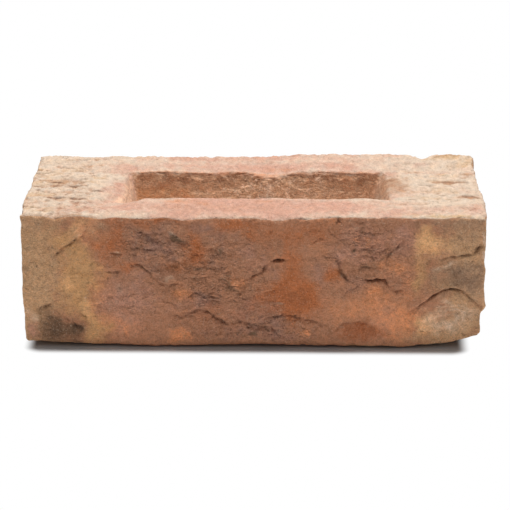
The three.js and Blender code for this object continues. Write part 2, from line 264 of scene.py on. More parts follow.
@dataclass(frozen=True)
class Patch:
    """A soft-edged patch of one clay on a face.

    Attributes:
        clay: which clay it is.
        u: its middle along the face.
        v: its middle up or across the face.
        reach_u: how far it reaches along.
        reach_v: how far it reaches up.
        strength: how much of what lies below it covers.
        tilt: the turn of its long side, in degrees.
    """

    clay: Clay
    u: float
    v: float
    reach_u: float
    reach_v: float
    strength: float
    tilt: float = 0.0

    def cover(self, u: Array, v: Array) -> Array:
        """How much the patch covers.

        It is the strength times e to the minus the distance, turned and scaled by the reaches,
        to the power of the patch's squareness.

        Args:
            u: distances along the face.
            v: distances up or across the face.

        Returns:
            The cover at each place, between 0 and the strength.
        """
        turn = math.radians(self.tilt)
        along = (u - self.u) * math.cos(turn) + (v - self.v) * math.sin(turn)
        aside = (v - self.v) * math.cos(turn) - (u - self.u) * math.sin(turn)
        distance = (along / self.reach_u) ** 2 + (aside / self.reach_v) ** 2
        return self.strength * np.exp(-(distance ** (PATCH_SQUARENESS / 2.0)))


def laid(*layers: tuple) -> tuple[Patch, ...]:
    """Patches in the order in which they are laid; a layer is a clay and its patches' numbers."""
    return tuple(Patch(clay, *row) for clay, *rows in layers for row in rows)


@dataclass(frozen=True)
class Lap:
    """What the sections of all folds have in common.

    Attributes:
        points_per_knot: how many points the line has from one place of the route to the next.
        groove_power: the higher, the blunter the groove.
        sink_share: how far the roll below sinks, as a share of the rise of the one above.
        crest_share: how far out the rolls are up, in widths, as are the next two.
        shade_share: how far out the soot and painted shade reach.
        lip_share: how far above the crease the pale clay lies, which is partly a painted highlight.
        faded_at: how many reaches away a fold has no effect any more.
        nudge: makes a place right on the line count as above it.
    """

    points_per_knot: int = 5
    groove_power: float = 1.5
    sink_share: float = 0.8
    crest_share: float = 0.8
    shade_share: float = 1.25
    lip_share: float = 2.2
    faded_at: float = 3.0
    nudge: float = 1e-9
    jog_pitch: float = 2.8
    jog_seeds: tuple[int, int] = (71, 73)
    break_pitch: float = 3.4
    break_seed: int = 77


@dataclass(frozen=True)
class Fold:
    """A crease where one roll of clay laps over the next.

    Attributes:
        route: places along it, as distances along and up the face.
        width: the crease's half width.
        depth: how deep it is in its middle; it tapers to both ends.
        step: how far the roll above stands proud of the one below, next to the crease.
        reach: how far from the crease that step fades out.
        dark: how much soot and painted shade lies in it.
        jog: how far it strays from its route.
        pale: how much pale clay lies on the lip above it, partly chalk and partly a painted
        highlight.
        lap: how its section is shaped.
    """

    route: tuple[tuple[float, float], ...]
    width: float
    depth: float
    step: float
    reach: float
    dark: float
    jog: float = 0.65
    pale: float = 0.15
    lap: Lap = Lap()

    def line(self) -> Array:
        """A smooth line through the route: each coordinate is a cubic of Catmull and Rom's kind.

        Returns:
            The line's points, one row each.
        """
        knots = np.array(self.route, float)
        knots = np.vstack([2 * knots[0] - knots[1], knots, 2 * knots[-1] - knots[-2]])
        share = np.linspace(0.0, 1.0, self.lap.points_per_knot, endpoint=False)[:, None]
        before, start, end, after = (knots[i : len(knots) - 3 + i, None] for i in range(4))
        linear = (end - before) * share
        square = (2 * before - 5 * start + 4 * end - after) * share**2
        cube = (3 * start - before - 3 * end + after) * share**3
        bends = (2 * start + linear + square + cube) / 2.0
        return np.vstack([bends.reshape(-1, 2), knots[-2]])

    def measure(self, u: Array, v: Array) -> tuple[Array, Array]:
        """Where places on the face lie beside the fold.

        Args:
            u: distances along the face.
            v: distances up the face.

        Returns:
            The signed distance to the fold, positive above it, and the share of the way along.
        """
        line = self.line()
        lengths = np.linalg.norm(np.diff(line, axis=0), axis=1)
        run = np.concatenate([[0.0], np.cumsum(lengths)]) / lengths.sum()
        nearest = np.full(u.shape, np.inf)
        side = np.ones(u.shape)
        along = np.zeros(u.shape)
        for start, end, length, low, high in zip(line, line[1:], lengths, run, run[1:]):
            way = (end - start) / length
            if way[0] < 0:
                start, way, low, high = end, -way, high, low
            reached = (u - start[0]) * way[0] + (v - start[1]) * way[1]
            held = np.clip(reached, 0.0, length)
            gap_u = u - start[0] - held * way[0]
            gap_v = v - start[1] - held * way[1]
            distance = np.hypot(gap_u, gap_v)
            closer = distance < nearest
            nearest = np.where(closer, distance, nearest)
            above = np.sign(way[0] * gap_v - way[1] * gap_u + self.lap.nudge)
            side = np.where(closer, above, side)
            along = np.where(closer, low + (high - low) * held / length, along)
        return side * nearest, along

    def press(self, u: Array, v: Array, height: Array, dark: Array, pale: Array) -> None:
        """Presses the fold into a face: a sharp groove, a proud roll above it, a sunken one below.

        The groove is the depth times e to the minus the distance over the width, to the groove's
        power. The roll above swells by the step, and the one below sinks by a share of it. All of
        it is scaled by the square root of a sine along the fold, broken up by noise. The soot and
        painted shade in the crease and the pale clay on the lip above it, partly a painted
        highlight, are bells across the fold.

        Args:
            u: distances along the face.
            v: distances up the face.
            height: the face's height there, which is changed.
            dark: the soot and painted shade there, which is changed.
            pale: the pale clay there, partly a painted highlight, which is changed.
        """
        lap = self.lap
        margin = lap.faded_at * self.reach
        route = np.array(self.route)
        low, high = route.min(axis=0) - margin, route.max(axis=0) + margin
        near = np.nonzero((u > low[0]) & (u < high[0]) & (v > low[1]) & (v < high[1]))[0]
        if not len(near):
            return
        place = sheet(u[near], v[near])
        jog_u, jog_v = (self.jog * layered_noise(place, lap.jog_pitch, 3, s) for s in lap.jog_seeds)
        signed, along = self.measure(u[near] + jog_u, v[near] + jog_v)
        distance = np.abs(signed)
        fullness = np.sqrt(np.sin(np.pi * np.clip(along, 0.0, 1.0)))
        breaks = layered_noise(place, lap.break_pitch, 2, lap.break_seed)
        fullness *= np.clip(0.9 + 0.55 * breaks, 0.3, 1.5)
        groove = self.depth * np.exp(-((distance / self.width) ** lap.groove_power))
        swell = np.where(signed > 0, 1.0, -lap.sink_share) * np.exp(-distance / self.reach)
        swell *= smoothstep(distance, 0.0, lap.crest_share * self.width)
        height[near] += fullness * (self.step * swell - groove)
        # Soot and painted shade in the crease, and pale clay, partly a painted highlight, on the lip
        # above.
        shade = self.dark * fullness * bell(distance, lap.shade_share * self.width)
        dark[near] = np.maximum(dark[near], shade)
        lip = self.pale * fullness * bell(signed - lap.lip_share * self.width, self.width)
        pale[near] = np.maximum(pale[near], lip)


def folded(*rows: tuple) -> tuple[Fold, ...]:
    """Folds from their routes and the numbers of their sections."""
    return tuple(Fold(*row) for row in rows)


@dataclass(frozen=True)
class Knock:
    """A local rise, or a fall where the height is negative, along a line.

    Attributes:
        place: where its middle is.
        height: how high it is there.
        reach: how far from there it is e times lower.
    """

    place: float
    height: float
    reach: float


def knocks(*rows: tuple[float, float, float]) -> tuple[Knock, ...]:
    """Knocks from their places, heights and reaches."""
    return tuple(Knock(*row) for row in rows)


def knocked(place: Array, line: Iterable[Knock]) -> Array:
    """The sum of the bells of the knocks on a line."""
    return sum(knock.height * bell(place - knock.place, knock.reach) for knock in line)


class Face(Enum):
    """The six faces, each with its axis and the way that it faces."""

    LEFT_HEADER = (0, -1)
    RIGHT_HEADER = (0, 1)
    FRONT_STRETCHER = (1, -1)
    BACK_STRETCHER = (1, 1)
    LOWER_BED = (2, -1)
    UPPER_BED = (2, 1)


@dataclass
class Skin:
    """The vertices of the brick's skin while they are worked.

    Attributes:
        box: their places on the sharp-edged box, with the lower bed at height 0.
        place: their places as worked so far.
        outward: the outward direction of the rounded box.
        dark: soot and painted shade in creases and hollows, and painted shadow under the frog's lip.
        layers: how much of each clay shows, and how crumbled the surface is.
        arris_share: a face's share in the middle of its arrises, where its colours thin.
        least_free: the least that later clays are taken to leave free for earlier ones.
        crumb_pitch: the pitch of the beds' crumbled arrises; crumb_reach is how far they go in.
    """

    box: Array
    place: Array
    outward: Array
    dark: Array
    layers: dict[Clay, Array]
    arris_share: float = 0.5
    least_free: float = 0.02
    crumb_pitch: float = 3.4
    crumb_reach: float = 1.6

    def share(self, face: Face) -> Array:
        """How far each vertex belongs to a face: the square of how much it faces that way."""
        axis, way = face.value
        return np.maximum(way * self.outward[:, axis], 0.0) ** 2

    def paint(self, face: Face, at: Array, clay: Clay, cover: Array) -> None:
        """Lays a clay over some of a face's vertices, and hides what is there by as much.

        Args:
            face: the face that is painted.
            at: which vertices.
            clay: what is laid; crumbling hides no colour.
            cover: how much of each place it covers.
        """
        full = np.minimum(self.share(face)[at] / self.arris_share, 1.0)
        cover = full * np.clip(cover, 0.0, 1.0)
        for other, layer in self.layers.items():
            if other is clay or Clay.CRUMBLED not in (clay, other):
                layer[at] *= 1.0 - cover
        self.layers[clay][at] += cover

    def darken(self, at: Array, dark: Array) -> None:
        """Deepens the soot and painted shade of some vertices to what is given, where that is more."""
        self.dark[at] = np.maximum(self.dark[at], dark)

    def crumble(self, at: Array, half: Array, points: Array, seed: int, depth: float) -> None:
        """Breaks the arrises of a bed: the noise's crests, as a bell of the distance to the edge.

        Args:
            at: which vertices.
            half: half of the box's sides.
            points: where the noise is read.
            seed: picks it.
            depth: how deep the breaks are.
        """
        gap = (half[:2] - np.abs(self.box[at, :2])).min(axis=1)
        crests = np.maximum(layered_noise(points, self.crumb_pitch, 2, seed), 0.0)
        worn = crests * bell(gap, self.crumb_reach)
        self.place[at] -= depth * worn[:, None] * self.outward[at]

    def settle(self) -> None:
        """Turns what shows of each clay into its cover over the clays before it in the list.

        The last one covers as much as it shows, and leaves the rest free. Each one before it
        shows as its cover times what the later ones leave free.
        """
        free = np.ones(len(self.box))
        for clay in reversed(Clay):
            if clay is not Clay.CRUMBLED:
                shown = self.layers[clay].copy()
                self.layers[clay] = np.clip(shown / np.maximum(free, self.least_free), 0.0, 1.0)
                free -= shown


# The brick's parts


@dataclass(frozen=True)
class Header:
    """How one header strays from the mould.

    Attributes:
        phase: picks its waves.
        swell: how far its front half stands proud.
        brow: how far its top stands proud, and from which height.
        knocks: rises and falls of its top, at places across.
        foot: how far it draws in below a height, and over which span.
    """

    phase: float
    swell: float
    brow: Knock
    knocks: tuple[Knock, ...]
    foot: Knock


@dataclass(frozen=True)
class Mould:
    """The box that the clot was thrown into, and how the clay strays from it.

    Attributes:
        belly: how far the stretchers bulge in their middles.
        swell_start: how far in front of the middle a header's swell begins.
        knock_rise: the heights between which the knocks of a header's top come in.
        slack: the hollow low on the right of the front stretcher, along X.
        slack_rise: the same hollow up Z.
        land: half the size of the true land on each header, whose middle is at land_y.
        land_fade: how far the strays take to come in beside a land.
    """

    length: float = 215.0
    width: float = 102.5
    height: float = 65.0
    upper_arris_radius: float = 1.1
    lower_arris_radius: float = 1.5
    belly: float = 0.9
    stretcher_wave: float = 0.6
    stretcher_wave_length: float = 46.0
    header_wave: float = 0.6
    header_wave_length: float = 38.0
    front_phase: float = 0.4
    back_phase: float = 3.3
    left: Header = Header(1.1, 0.9, Knock(60.0, 0.7, 5.0), (), Knock(14.0, -1.2, 16.0))
    right: Header = Header(
        2.9,
        1.5,
        Knock(60.0, 0.0, 5.0),
        (Knock(35.0, -0.7, 9.0), Knock(-23.0, 0.6, 7.0)),
        Knock(13.5, -2.2, 2.5),
    )
    swell_start: float = 2.0
    knock_rise: tuple[float, float] = (50.0, 60.0)
    slack: Knock = Knock(97.0, 1.8, 17.0)
    slack_rise: Knock = Knock(12.0, 1.0, 12.0)
    land: float = 13.0
    land_y: float = 16.0
    land_fade: float = 8.0

    def half(self) -> Array:
        """Half of each side."""
        return np.array([self.length, self.width, self.height]) / 2.0

    def round_arrises(self, box: Array) -> tuple[Array, Array]:
        """Rounds the box's edges.

        Each point keeps its nearest point of a smaller core box, and lies one radius away from
        it. The radius grows evenly from the upper arrises to the lower ones.

        Args:
            box: places on the box, from its middle.

        Returns:
            The places on the rounded box, and their outward directions.
        """
        half = self.half()
        up = (box[:, 2:] / half[2] + 1.0) / 2.0
        radius = self.lower_arris_radius * (1.0 - up) + self.upper_arris_radius * up
        core = half - radius
        inside = np.clip(box, -core, core)
        outward = box - inside
        outward /= np.linalg.norm(outward, axis=1, keepdims=True)
        return inside + radius * outward, outward

    def stretcher(self, x: Array, z: Array, phase: float) -> Array:
        """A belly, 1 minus the square along times 1 minus the fourth power up, and waves.

        Args:
            x: distances along.
            z: heights.
            phase: picks the waves.

        Returns:
            The stray, positive outwards.
        """
        along = 2.0 * x / self.length
        up = 2.0 * z / self.height - 1.0
        belly = self.belly * (1.0 - along**2) * (1.0 - up**4)
        return belly + self.stretcher_wave * uneven(x, z, self.stretcher_wave_length, phase)

    def front(self, x: Array, z: Array) -> Array:
        """The front stretcher's stray, less the slack where no clay reached the mould's corner."""
        hollow = knocked(x, [self.slack]) * knocked(z, [self.slack_rise])
        return self.stretcher(x, z, self.front_phase) - hollow

    def header(self, header: Header, y: Array, z: Array) -> Array:
        """A swell towards the front and the top, waves, and a foot that draws in.

        All of it fades out on the header's true land.

        Args:
            header: which of the two it is.
            y: distances across.
            z: heights.

        Returns:
            The stray, positive outwards.
        """
        fade = self.land + self.land_fade
        free_y = smoothstep(np.abs(y - self.land_y), self.land, fade)
        free_z = smoothstep(np.abs(z - self.height / 2.0), self.land, fade)
        swell = header.swell * smoothstep(-y, self.swell_start, self.swell_start + self.land_fade)
        brow, foot = header.brow, header.foot
        swell += brow.height * smoothstep(z, brow.place, brow.place + brow.reach)
        swell += knocked(y, header.knocks) * smoothstep(z, *self.knock_rise)
        waves = self.header_wave * uneven(y, z, self.header_wave_length, header.phase)
        drawn = foot.height * (1.0 - smoothstep(z, foot.place - foot.reach, foot.place + foot.reach))
        return np.maximum(free_y, free_z) * (swell + waves + drawn)


@dataclass(frozen=True)
class LowerBed:
    """The struck face that the brick lies on: true, but turned up at its rim and two corners.

    A lift is how far a place turns up, and its reach how far in from the edge that starts. The
    drag is the length and width of the strike's marks. Beside the pitch of a pattern is its
    height, depth or cover, and the ends turn buff between the two distances of buff_ends.
    """

    rim_lift: float = 1.1
    rim_reach: float = 9.0
    left_lift: float = 1.6
    left_reach: float = 38.0
    right_lift: float = 4.2
    right_reach: float = 26.0
    across_reach: float = 24.0
    front_knocks: tuple[Knock, ...] = knocks(
        (-42, -0.6, 12), (4, 0.8, 12), (70, -0.5, 6), (84, 0.7, 7), (107, 2, 5),
    )
    drag: tuple[float, float] = (34.0, 1.9)
    drag_height: float = 0.1
    lump_pitch: float = 7.0
    lump_height: float = 0.12
    pit_pitch: float = 4.4
    pit_depth: float = 0.5
    crumb_depth: float = 0.6
    dust_pitch: float = 31.0
    dust: float = 0.8
    buff_ends: tuple[float, float] = (60.0, 90.0)
    seed: int = 401

    def lift(self, mould: Mould, x: Array, y: Array) -> Array:
        """The rim's lift towards the edge, its knocks, and the lift of the nearer front corner.

        Args:
            mould: gives the size.
            x: distances along the bed.
            y: distances across the bed.

        Returns:
            The lift at each place, positive upwards.
        """
        end_gap = mould.length / 2.0 - np.abs(x)
        side_gap = mould.width / 2.0 - np.abs(y)
        gap = np.minimum(end_gap, side_gap)
        rim = self.rim_lift * (1.0 - smoothstep(gap, 0.0, self.rim_reach))
        front_gap = mould.width / 2.0 + y
        rim += knocked(x, self.front_knocks) * (1.0 - smoothstep(front_gap, 0.0, self.rim_reach))
        across = 1.0 - smoothstep(front_gap, 0.0, self.across_reach)
        left = self.left_lift * (1.0 - smoothstep(end_gap, 0.0, self.left_reach))
        right = self.right_lift * (1.0 - smoothstep(end_gap, 0.0, self.right_reach))
        return rim + across * np.where(x > 0, right, left)

    def work(self, skin: Skin, mould: Mould) -> None:
        """Drag marks of the strike along X, crumbled arrises, and the buff dust that it picked up.

        Only the hollows are kept, because the brick lies on its high places.

        Args:
            skin: the skin, which is changed.
            mould: gives the size.
        """
        face = Face.LOWER_BED
        at = np.nonzero(skin.share(face) > 0.0)[0]
        x, y, _ = skin.box[at].T
        drag = sheet(x / self.drag[0], y / self.drag[1], 3.3)
        flat = sheet(x, y, 9.0)
        height = self.drag_height * layered_noise(drag, 1.0, 2, self.seed)
        height = height + self.lump_height * layered_noise(flat, self.lump_pitch, 3, self.seed + 10)
        pits = smoothstep(noise(flat / self.pit_pitch, self.seed + 20), 0.45, 0.7)
        sunk = np.minimum(height, 0.0) - self.pit_depth * pits
        skin.place[at, 2] -= skin.share(face)[at] * sunk
        skin.crumble(at, mould.half(), flat, self.seed + 60, self.crumb_depth)
        skin.paint(face, at, Clay.BUFF, 0.9 * smoothstep(np.abs(x), *self.buff_ends))
        for clay, level, offset in ((Clay.BUFF, -0.1, 30), (Clay.CREAM, 0.35, 40), (Clay.GREY, 0.3, 50)):
            clouds = layered_noise(flat, self.dust_pitch, 3, self.seed + offset)
            skin.paint(face, at, clay, self.dust * smoothstep(clouds, level, level + 0.5))


@dataclass(frozen=True)
class UpperBed:
    """The face that came from the mould's base: sanded, pale, low-ridged at its two ends.

    Attributes:
        curl: how far it curls up to the back arris.
        land_half_width: half the width of the true lands beside the frog.
        land_end_margin: how far the lands stay away from the headers.
        wear_reach: how far in from an arris its wear and its knocks reach.
        slump_spread: how far behind the frog the bed sinks with the slump.
        bend: how far the ridges, whose length and width are given, wander from X.
        end_start: how far from the middle the rough ends start and are in full.
        gouges: drags and tears, as distances along X and across Y.
        patches: its colours in the order in which they are laid.
    """

    curl: float = 2.0
    wave: float = 0.5
    wave_length: float = 34.0
    wave_phase: float = 0.7
    land_half_width: float = 30.0
    land_end_margin: float = 9.0
    wear: float = 0.35
    wear_reach: float = 5.0
    slump_spread: float = 7.0
    bend: float = 2.6
    bend_pitch: float = 19.0
    ridges: tuple[float, float] = (12.0, 5.0)
    fine_ridges: tuple[float, float] = (4.0, 2.8)
    lump_pitch: float = 4.0
    pit_pitch: float = 2.2
    end_start: tuple[float, float] = (64.0, 76.0)
    crumb_depth: float = 1.0
    seed: int = 301
    front_knocks: tuple[Knock, ...] = knocks(
        (-101, 0.6, 7), (-91.5, -0.9, 2.6), (-80, 0.35, 4), (-70, -0.8, 3.6), (-46, -0.5, 8),
        (-33, -1.3, 4.6), (-24, -0.4, 4), (3.5, -0.4, 4), (11, -1, 5), (25, -0.8, 4), (36, 0.6, 5),
        (45, 0.6, 6), (62, 0.65, 7), (73, 0.2, 5), (81, 0.5, 4), (94, 0.7, 5), (107.5, -0.7, 3),
    )
    back_knocks: tuple[Knock, ...] = knocks(
        (-102, 0.4, 5), (-83, -0.5, 4), (-70, 0.7, 6), (-55, 0.2, 8), (-25, 0.35, 22), (83, -2.4, 4.5),
        (96, 0.3, 6), (107, -0.8, 5),
    )
    gouges: tuple[Fold, ...] = folded(
        (((-98.5, 4.4), (-95.5, 3.6), (-92, 4.2)), 0.8, 1, 0.3, 2.5, 0.95),
        (((-100, 0), (-97, -1.2), (-93, -0.4)), 0.6, 0.5, 0.3, 2.5, 0.35),
        (((-90, -2), (-86.8, -3), (-83, -2.4)), 0.7, 0.7, 0.3, 2.5, 0.75),
        (((-79, -8), (-75, -9.8), (-71, -9.5)), 0.9, 0.9, 0.4, 3.5, 0.65),
        (((-97, -21), (-93, -23), (-88, -22)), 0.9, 0.8, 0.3, 3, 0.7),
        (((-87, -22.4), (-83, -22.9), (-78, -22)), 0.7, 0.8, 0.2, 2.5, 0.8),
        (((-85.5, -28.6), (-82.8, -29.4), (-80.5, -28.8)), 0.7, 0.7, 0.2, 2.5, 0.75),
        (((87, 10), (93, 8), (100, 8.5), (104, 6)), 0.9, 0.6, 0.4, 4, 0.3),
        (((97, -17), (101.5, -16), (106, -19)), 0.9, 0.8, 0.4, 3.5, 0.4),
        (((96, -34), (99.5, -36.5), (101, -42)), 0.5, 0.5, 0.3, 3, 0.4),
        (((78, 4), (84, 3), (88, 4)), 0.7, 0.4, 0.3, 3, 0.2),
        (((71, -22), (74, -21.2), (76, -22.4)), 0.5, 0.5, 0.1, 2, 0.5),
        (((63.6, 11.4), (65.6, 10.8), (67.6, 11.8)), 1.1, 0.7, 0.2, 2, 0.6),
        (((-108, -2), (-104.5, -3.4), (-101, -2.6)), 0.6, 0.5, 0.2, 2.5, 0.3),
        (((-109, 21), (-104, 20), (-99, 21)), 0.7, 0.5, 0.4, 3, 0.25),
        (((-98, 33), (-94, 29.5), (-88, 28)), 0.8, 0.5, 0.3, 3, 0.3),
    )
    patches: tuple[Patch, ...] = laid(
        (Clay.PINK, (-2, -36, 76, 18, 0.9), (-2, 37, 74, 17, 0.8)),
        (Clay.TAN, (5, 50.5, 62, 1.4, 0.3)),
        (Clay.PINK, (-66, -4, 9, 24, 0.35)),
        (Clay.TAN, (-16, -36, 54, 8, 0.3)),
        (Clay.CREAM, (-10, 40, 90, 5, 0.4)),
        (Clay.BLUSH, (-35, -27, 7.5, 5, 0.65), (-24, -30, 5, 4, 0.35), (5, -27, 6, 2.6, 0.5),
         (38, -34, 9, 3, 0.2), (34, 50, 34, 2.4, 0.3), (-14, 51, 30, 2.4, 0.35), (12, 29.5, 10, 2.4, 0.4),
         (-97, 32, 8, 5, 0.25), (-103, 12, 5, 8, 0.2)),
        (Clay.STRAW, (96, 47, 12, 5, 0.9)),
        (Clay.TAN, (96, 49, 11, 3, 0.4)),
        (Clay.STRAW, (103, 38, 5, 8, 0.3), (-102, 22, 6, 5, 0.3), (-63, 50, 10, 3, 0.35),
         (-76, 8, 4, 9, 0.25), (-100, 44, 6, 6, 0.3), (96, -40, 3, 8, 0.25)),
        (Clay.ASH, (-86, 24, 13, 9, 0.2), (-85, 8.5, 11, 4, 0.55), (-88, -1, 6, 2.4, 0.5),
         (80, 30, 12, 8, 0.08)),
        (Clay.TAN, (-90, -2, 15, 9, 0.3), (-88, -22, 15, 6, 0.35), (-96, 6, 9, 3, 0.3),
         (101, -18, 6, 3.4, 0.75), (93, 7.5, 10, 3, 0.5), (102, 20, 4, 10, 0.35), (104, -36, 4, 10, 0.35),
         (72, 3, 6, 15, 0.25), (65, 11, 5, 4, 0.5), (66, 3, 7, 17, 0.62)),
        (Clay.PINK, (88, 14, 14, 4, 0.2), (103, -36, 5, 10, 0.35)),
        (Clay.STRAW, (92, -49.5, 12, 2.6, 0.7)),
        (Clay.TAN, (-87, -50.5, 20, 2, 0.5)),
    )

    def rise(self, mould: Mould, frog: Frog, x: Array, y: Array) -> Array:
        """The bed's stray: a curl up to the back arris, waves, worn and knocked arrises, a slump.

        The curl and the waves fade out on the lands. The wear and the knocks are bells across
        their arris, and the slump is one along and across the frog's back lip.

        Args:
            mould: gives the size.
            frog: gives the place of the lands and of the slump.
            x: distances along the bed.
            y: distances across the bed.

        Returns:
            The stray at each place, positive upwards.
        """
        frog_end = frog.length / 2.0 + frog.flare_reach
        land_half = (mould.length / 2.0 - self.land_end_margin - frog_end) / 2.0
        off_land = np.abs(np.abs(x) - frog_end - land_half)
        free_x = smoothstep(off_land, land_half, land_half + mould.land_fade)
        free_y = smoothstep(np.abs(y), self.land_half_width, self.land_half_width + mould.land_fade)
        free = np.maximum(free_x, free_y)
        back_gap, front_gap = mould.width / 2.0 - y, mould.width / 2.0 + y
        curl = self.curl * smoothstep(y, 0.5 * self.land_half_width, mould.width / 2.0)
        curl *= smoothstep(x, -0.1 * mould.length, 0.2 * mould.length)
        waves = self.wave * uneven(x, y, self.wave_length, self.wave_phase)
        front = (knocked(x, self.front_knocks) - self.wear) * bell(front_gap, self.wear_reach)
        back = knocked(x, self.back_knocks) * bell(back_gap, self.wear_reach)
        slump = frog.slump_sink * bell(x - frog.slump_x, frog.slump_reach)
        slump *= bell(y - frog.width / 2.0 - frog.back_shift, self.slump_spread)
        return free * (curl + waves) + front + back - slump

    def work(self, skin: Skin, mould: Mould, frog: Frog) -> None:
        """Ridges along X, gouges, sand in soft lumps, crumbled arrises and the bed's colours.

        The left end is the rough one, and the right end is half as rough. Between them the
        relief is higher behind the frog than in front of it, and the frog has next to none. The
        pits and gouges get soot and painted shade, and the gouges' lips a painted highlight.

        Args:
            skin: the skin, which is changed.
            mould: gives the size.
            frog: gives the place of the frog.
        """
        face = Face.UPPER_BED
        share = skin.share(face)
        at = np.nonzero(share > 0.0)[0]
        x, y, _ = skin.box[at].T
        bent = y + self.bend * noise(sheet(x, y, 5.0) / self.bend_pitch, self.seed)
        broad = sheet(x / self.ridges[0], bent / self.ridges[1])
        fine = sheet(x / self.fine_ridges[0], bent / self.fine_ridges[1])
        ridges = noise(broad, self.seed + 2) + 0.4 * noise(fine, self.seed + 4)
        ends = smoothstep(-x, *self.end_start) + 0.5 * smoothstep(x, *self.end_start)
        lumps = layered_noise(sheet(x, y / 1.4), self.lump_pitch, 4, self.seed + 6)
        pits = mottle(x / 1.5, y / 1.2, self.pit_pitch, self.seed + 8, 0.42, 0.7)
        height = (0.1 + 0.2 * ends) * ridges + (0.2 + 0.22 * ends) * lumps
        behind = 0.35 * (1.0 - ends) * smoothstep(y, -10.0, 20.0)
        before = 0.25 * (1.0 - ends) * smoothstep(-y, -10.0, 20.0)
        height *= 1.0 + behind - before
        height -= (0.14 + 0.14 * ends) * pits
        # Soot and painted shade in the pits.
        dark = (0.08 + 0.2 * ends) * pits
        pale = np.zeros(len(at))
        for gouge in self.gouges:
            gouge.press(x, y, height, dark, pale)
        open_bed = 1.0 - 0.8 * frog.hollow(x, y)
        skin.place[at, 2] += share[at] * height * open_bed
        skin.darken(at, share[at] * dark * open_bed)
        skin.crumble(at, mould.half(), sheet(x, y, 2.0), self.seed + 30, self.crumb_depth)
        sunk = smoothstep(-height, -0.05, 0.45)
        covers = [
            (Clay.CREAM, 1.0),
            (Clay.PINK, (0.45 - 0.3 * ends) * mottle(x / 1.5, y, 17.0, self.seed + 40, -0.1, 0.5)),
            (Clay.STRAW, (0.3 + 0.25 * ends) * mottle(x / 1.8, y, 9.0, self.seed + 42, 0.0, 0.5)),
            (Clay.ASH, (0.05 + 0.3 * ends) * mottle(x / 1.8, y, 10.0, self.seed + 44, 0.15, 0.5)),
            (Clay.TAN, (0.2 + 0.25 * ends) * sunk),
            *[(patch.clay, patch.cover(x, y)) for patch in self.patches],
            # Paler on the raised places, and the painted highlight on the gouges' lips.
            (Clay.CREAM, (0.35 + 0.25 * ends) * smoothstep(height, 0.1, 0.4) + pale),
        ]
        for clay, cover in covers:
            skin.paint(face, at, clay, cover)


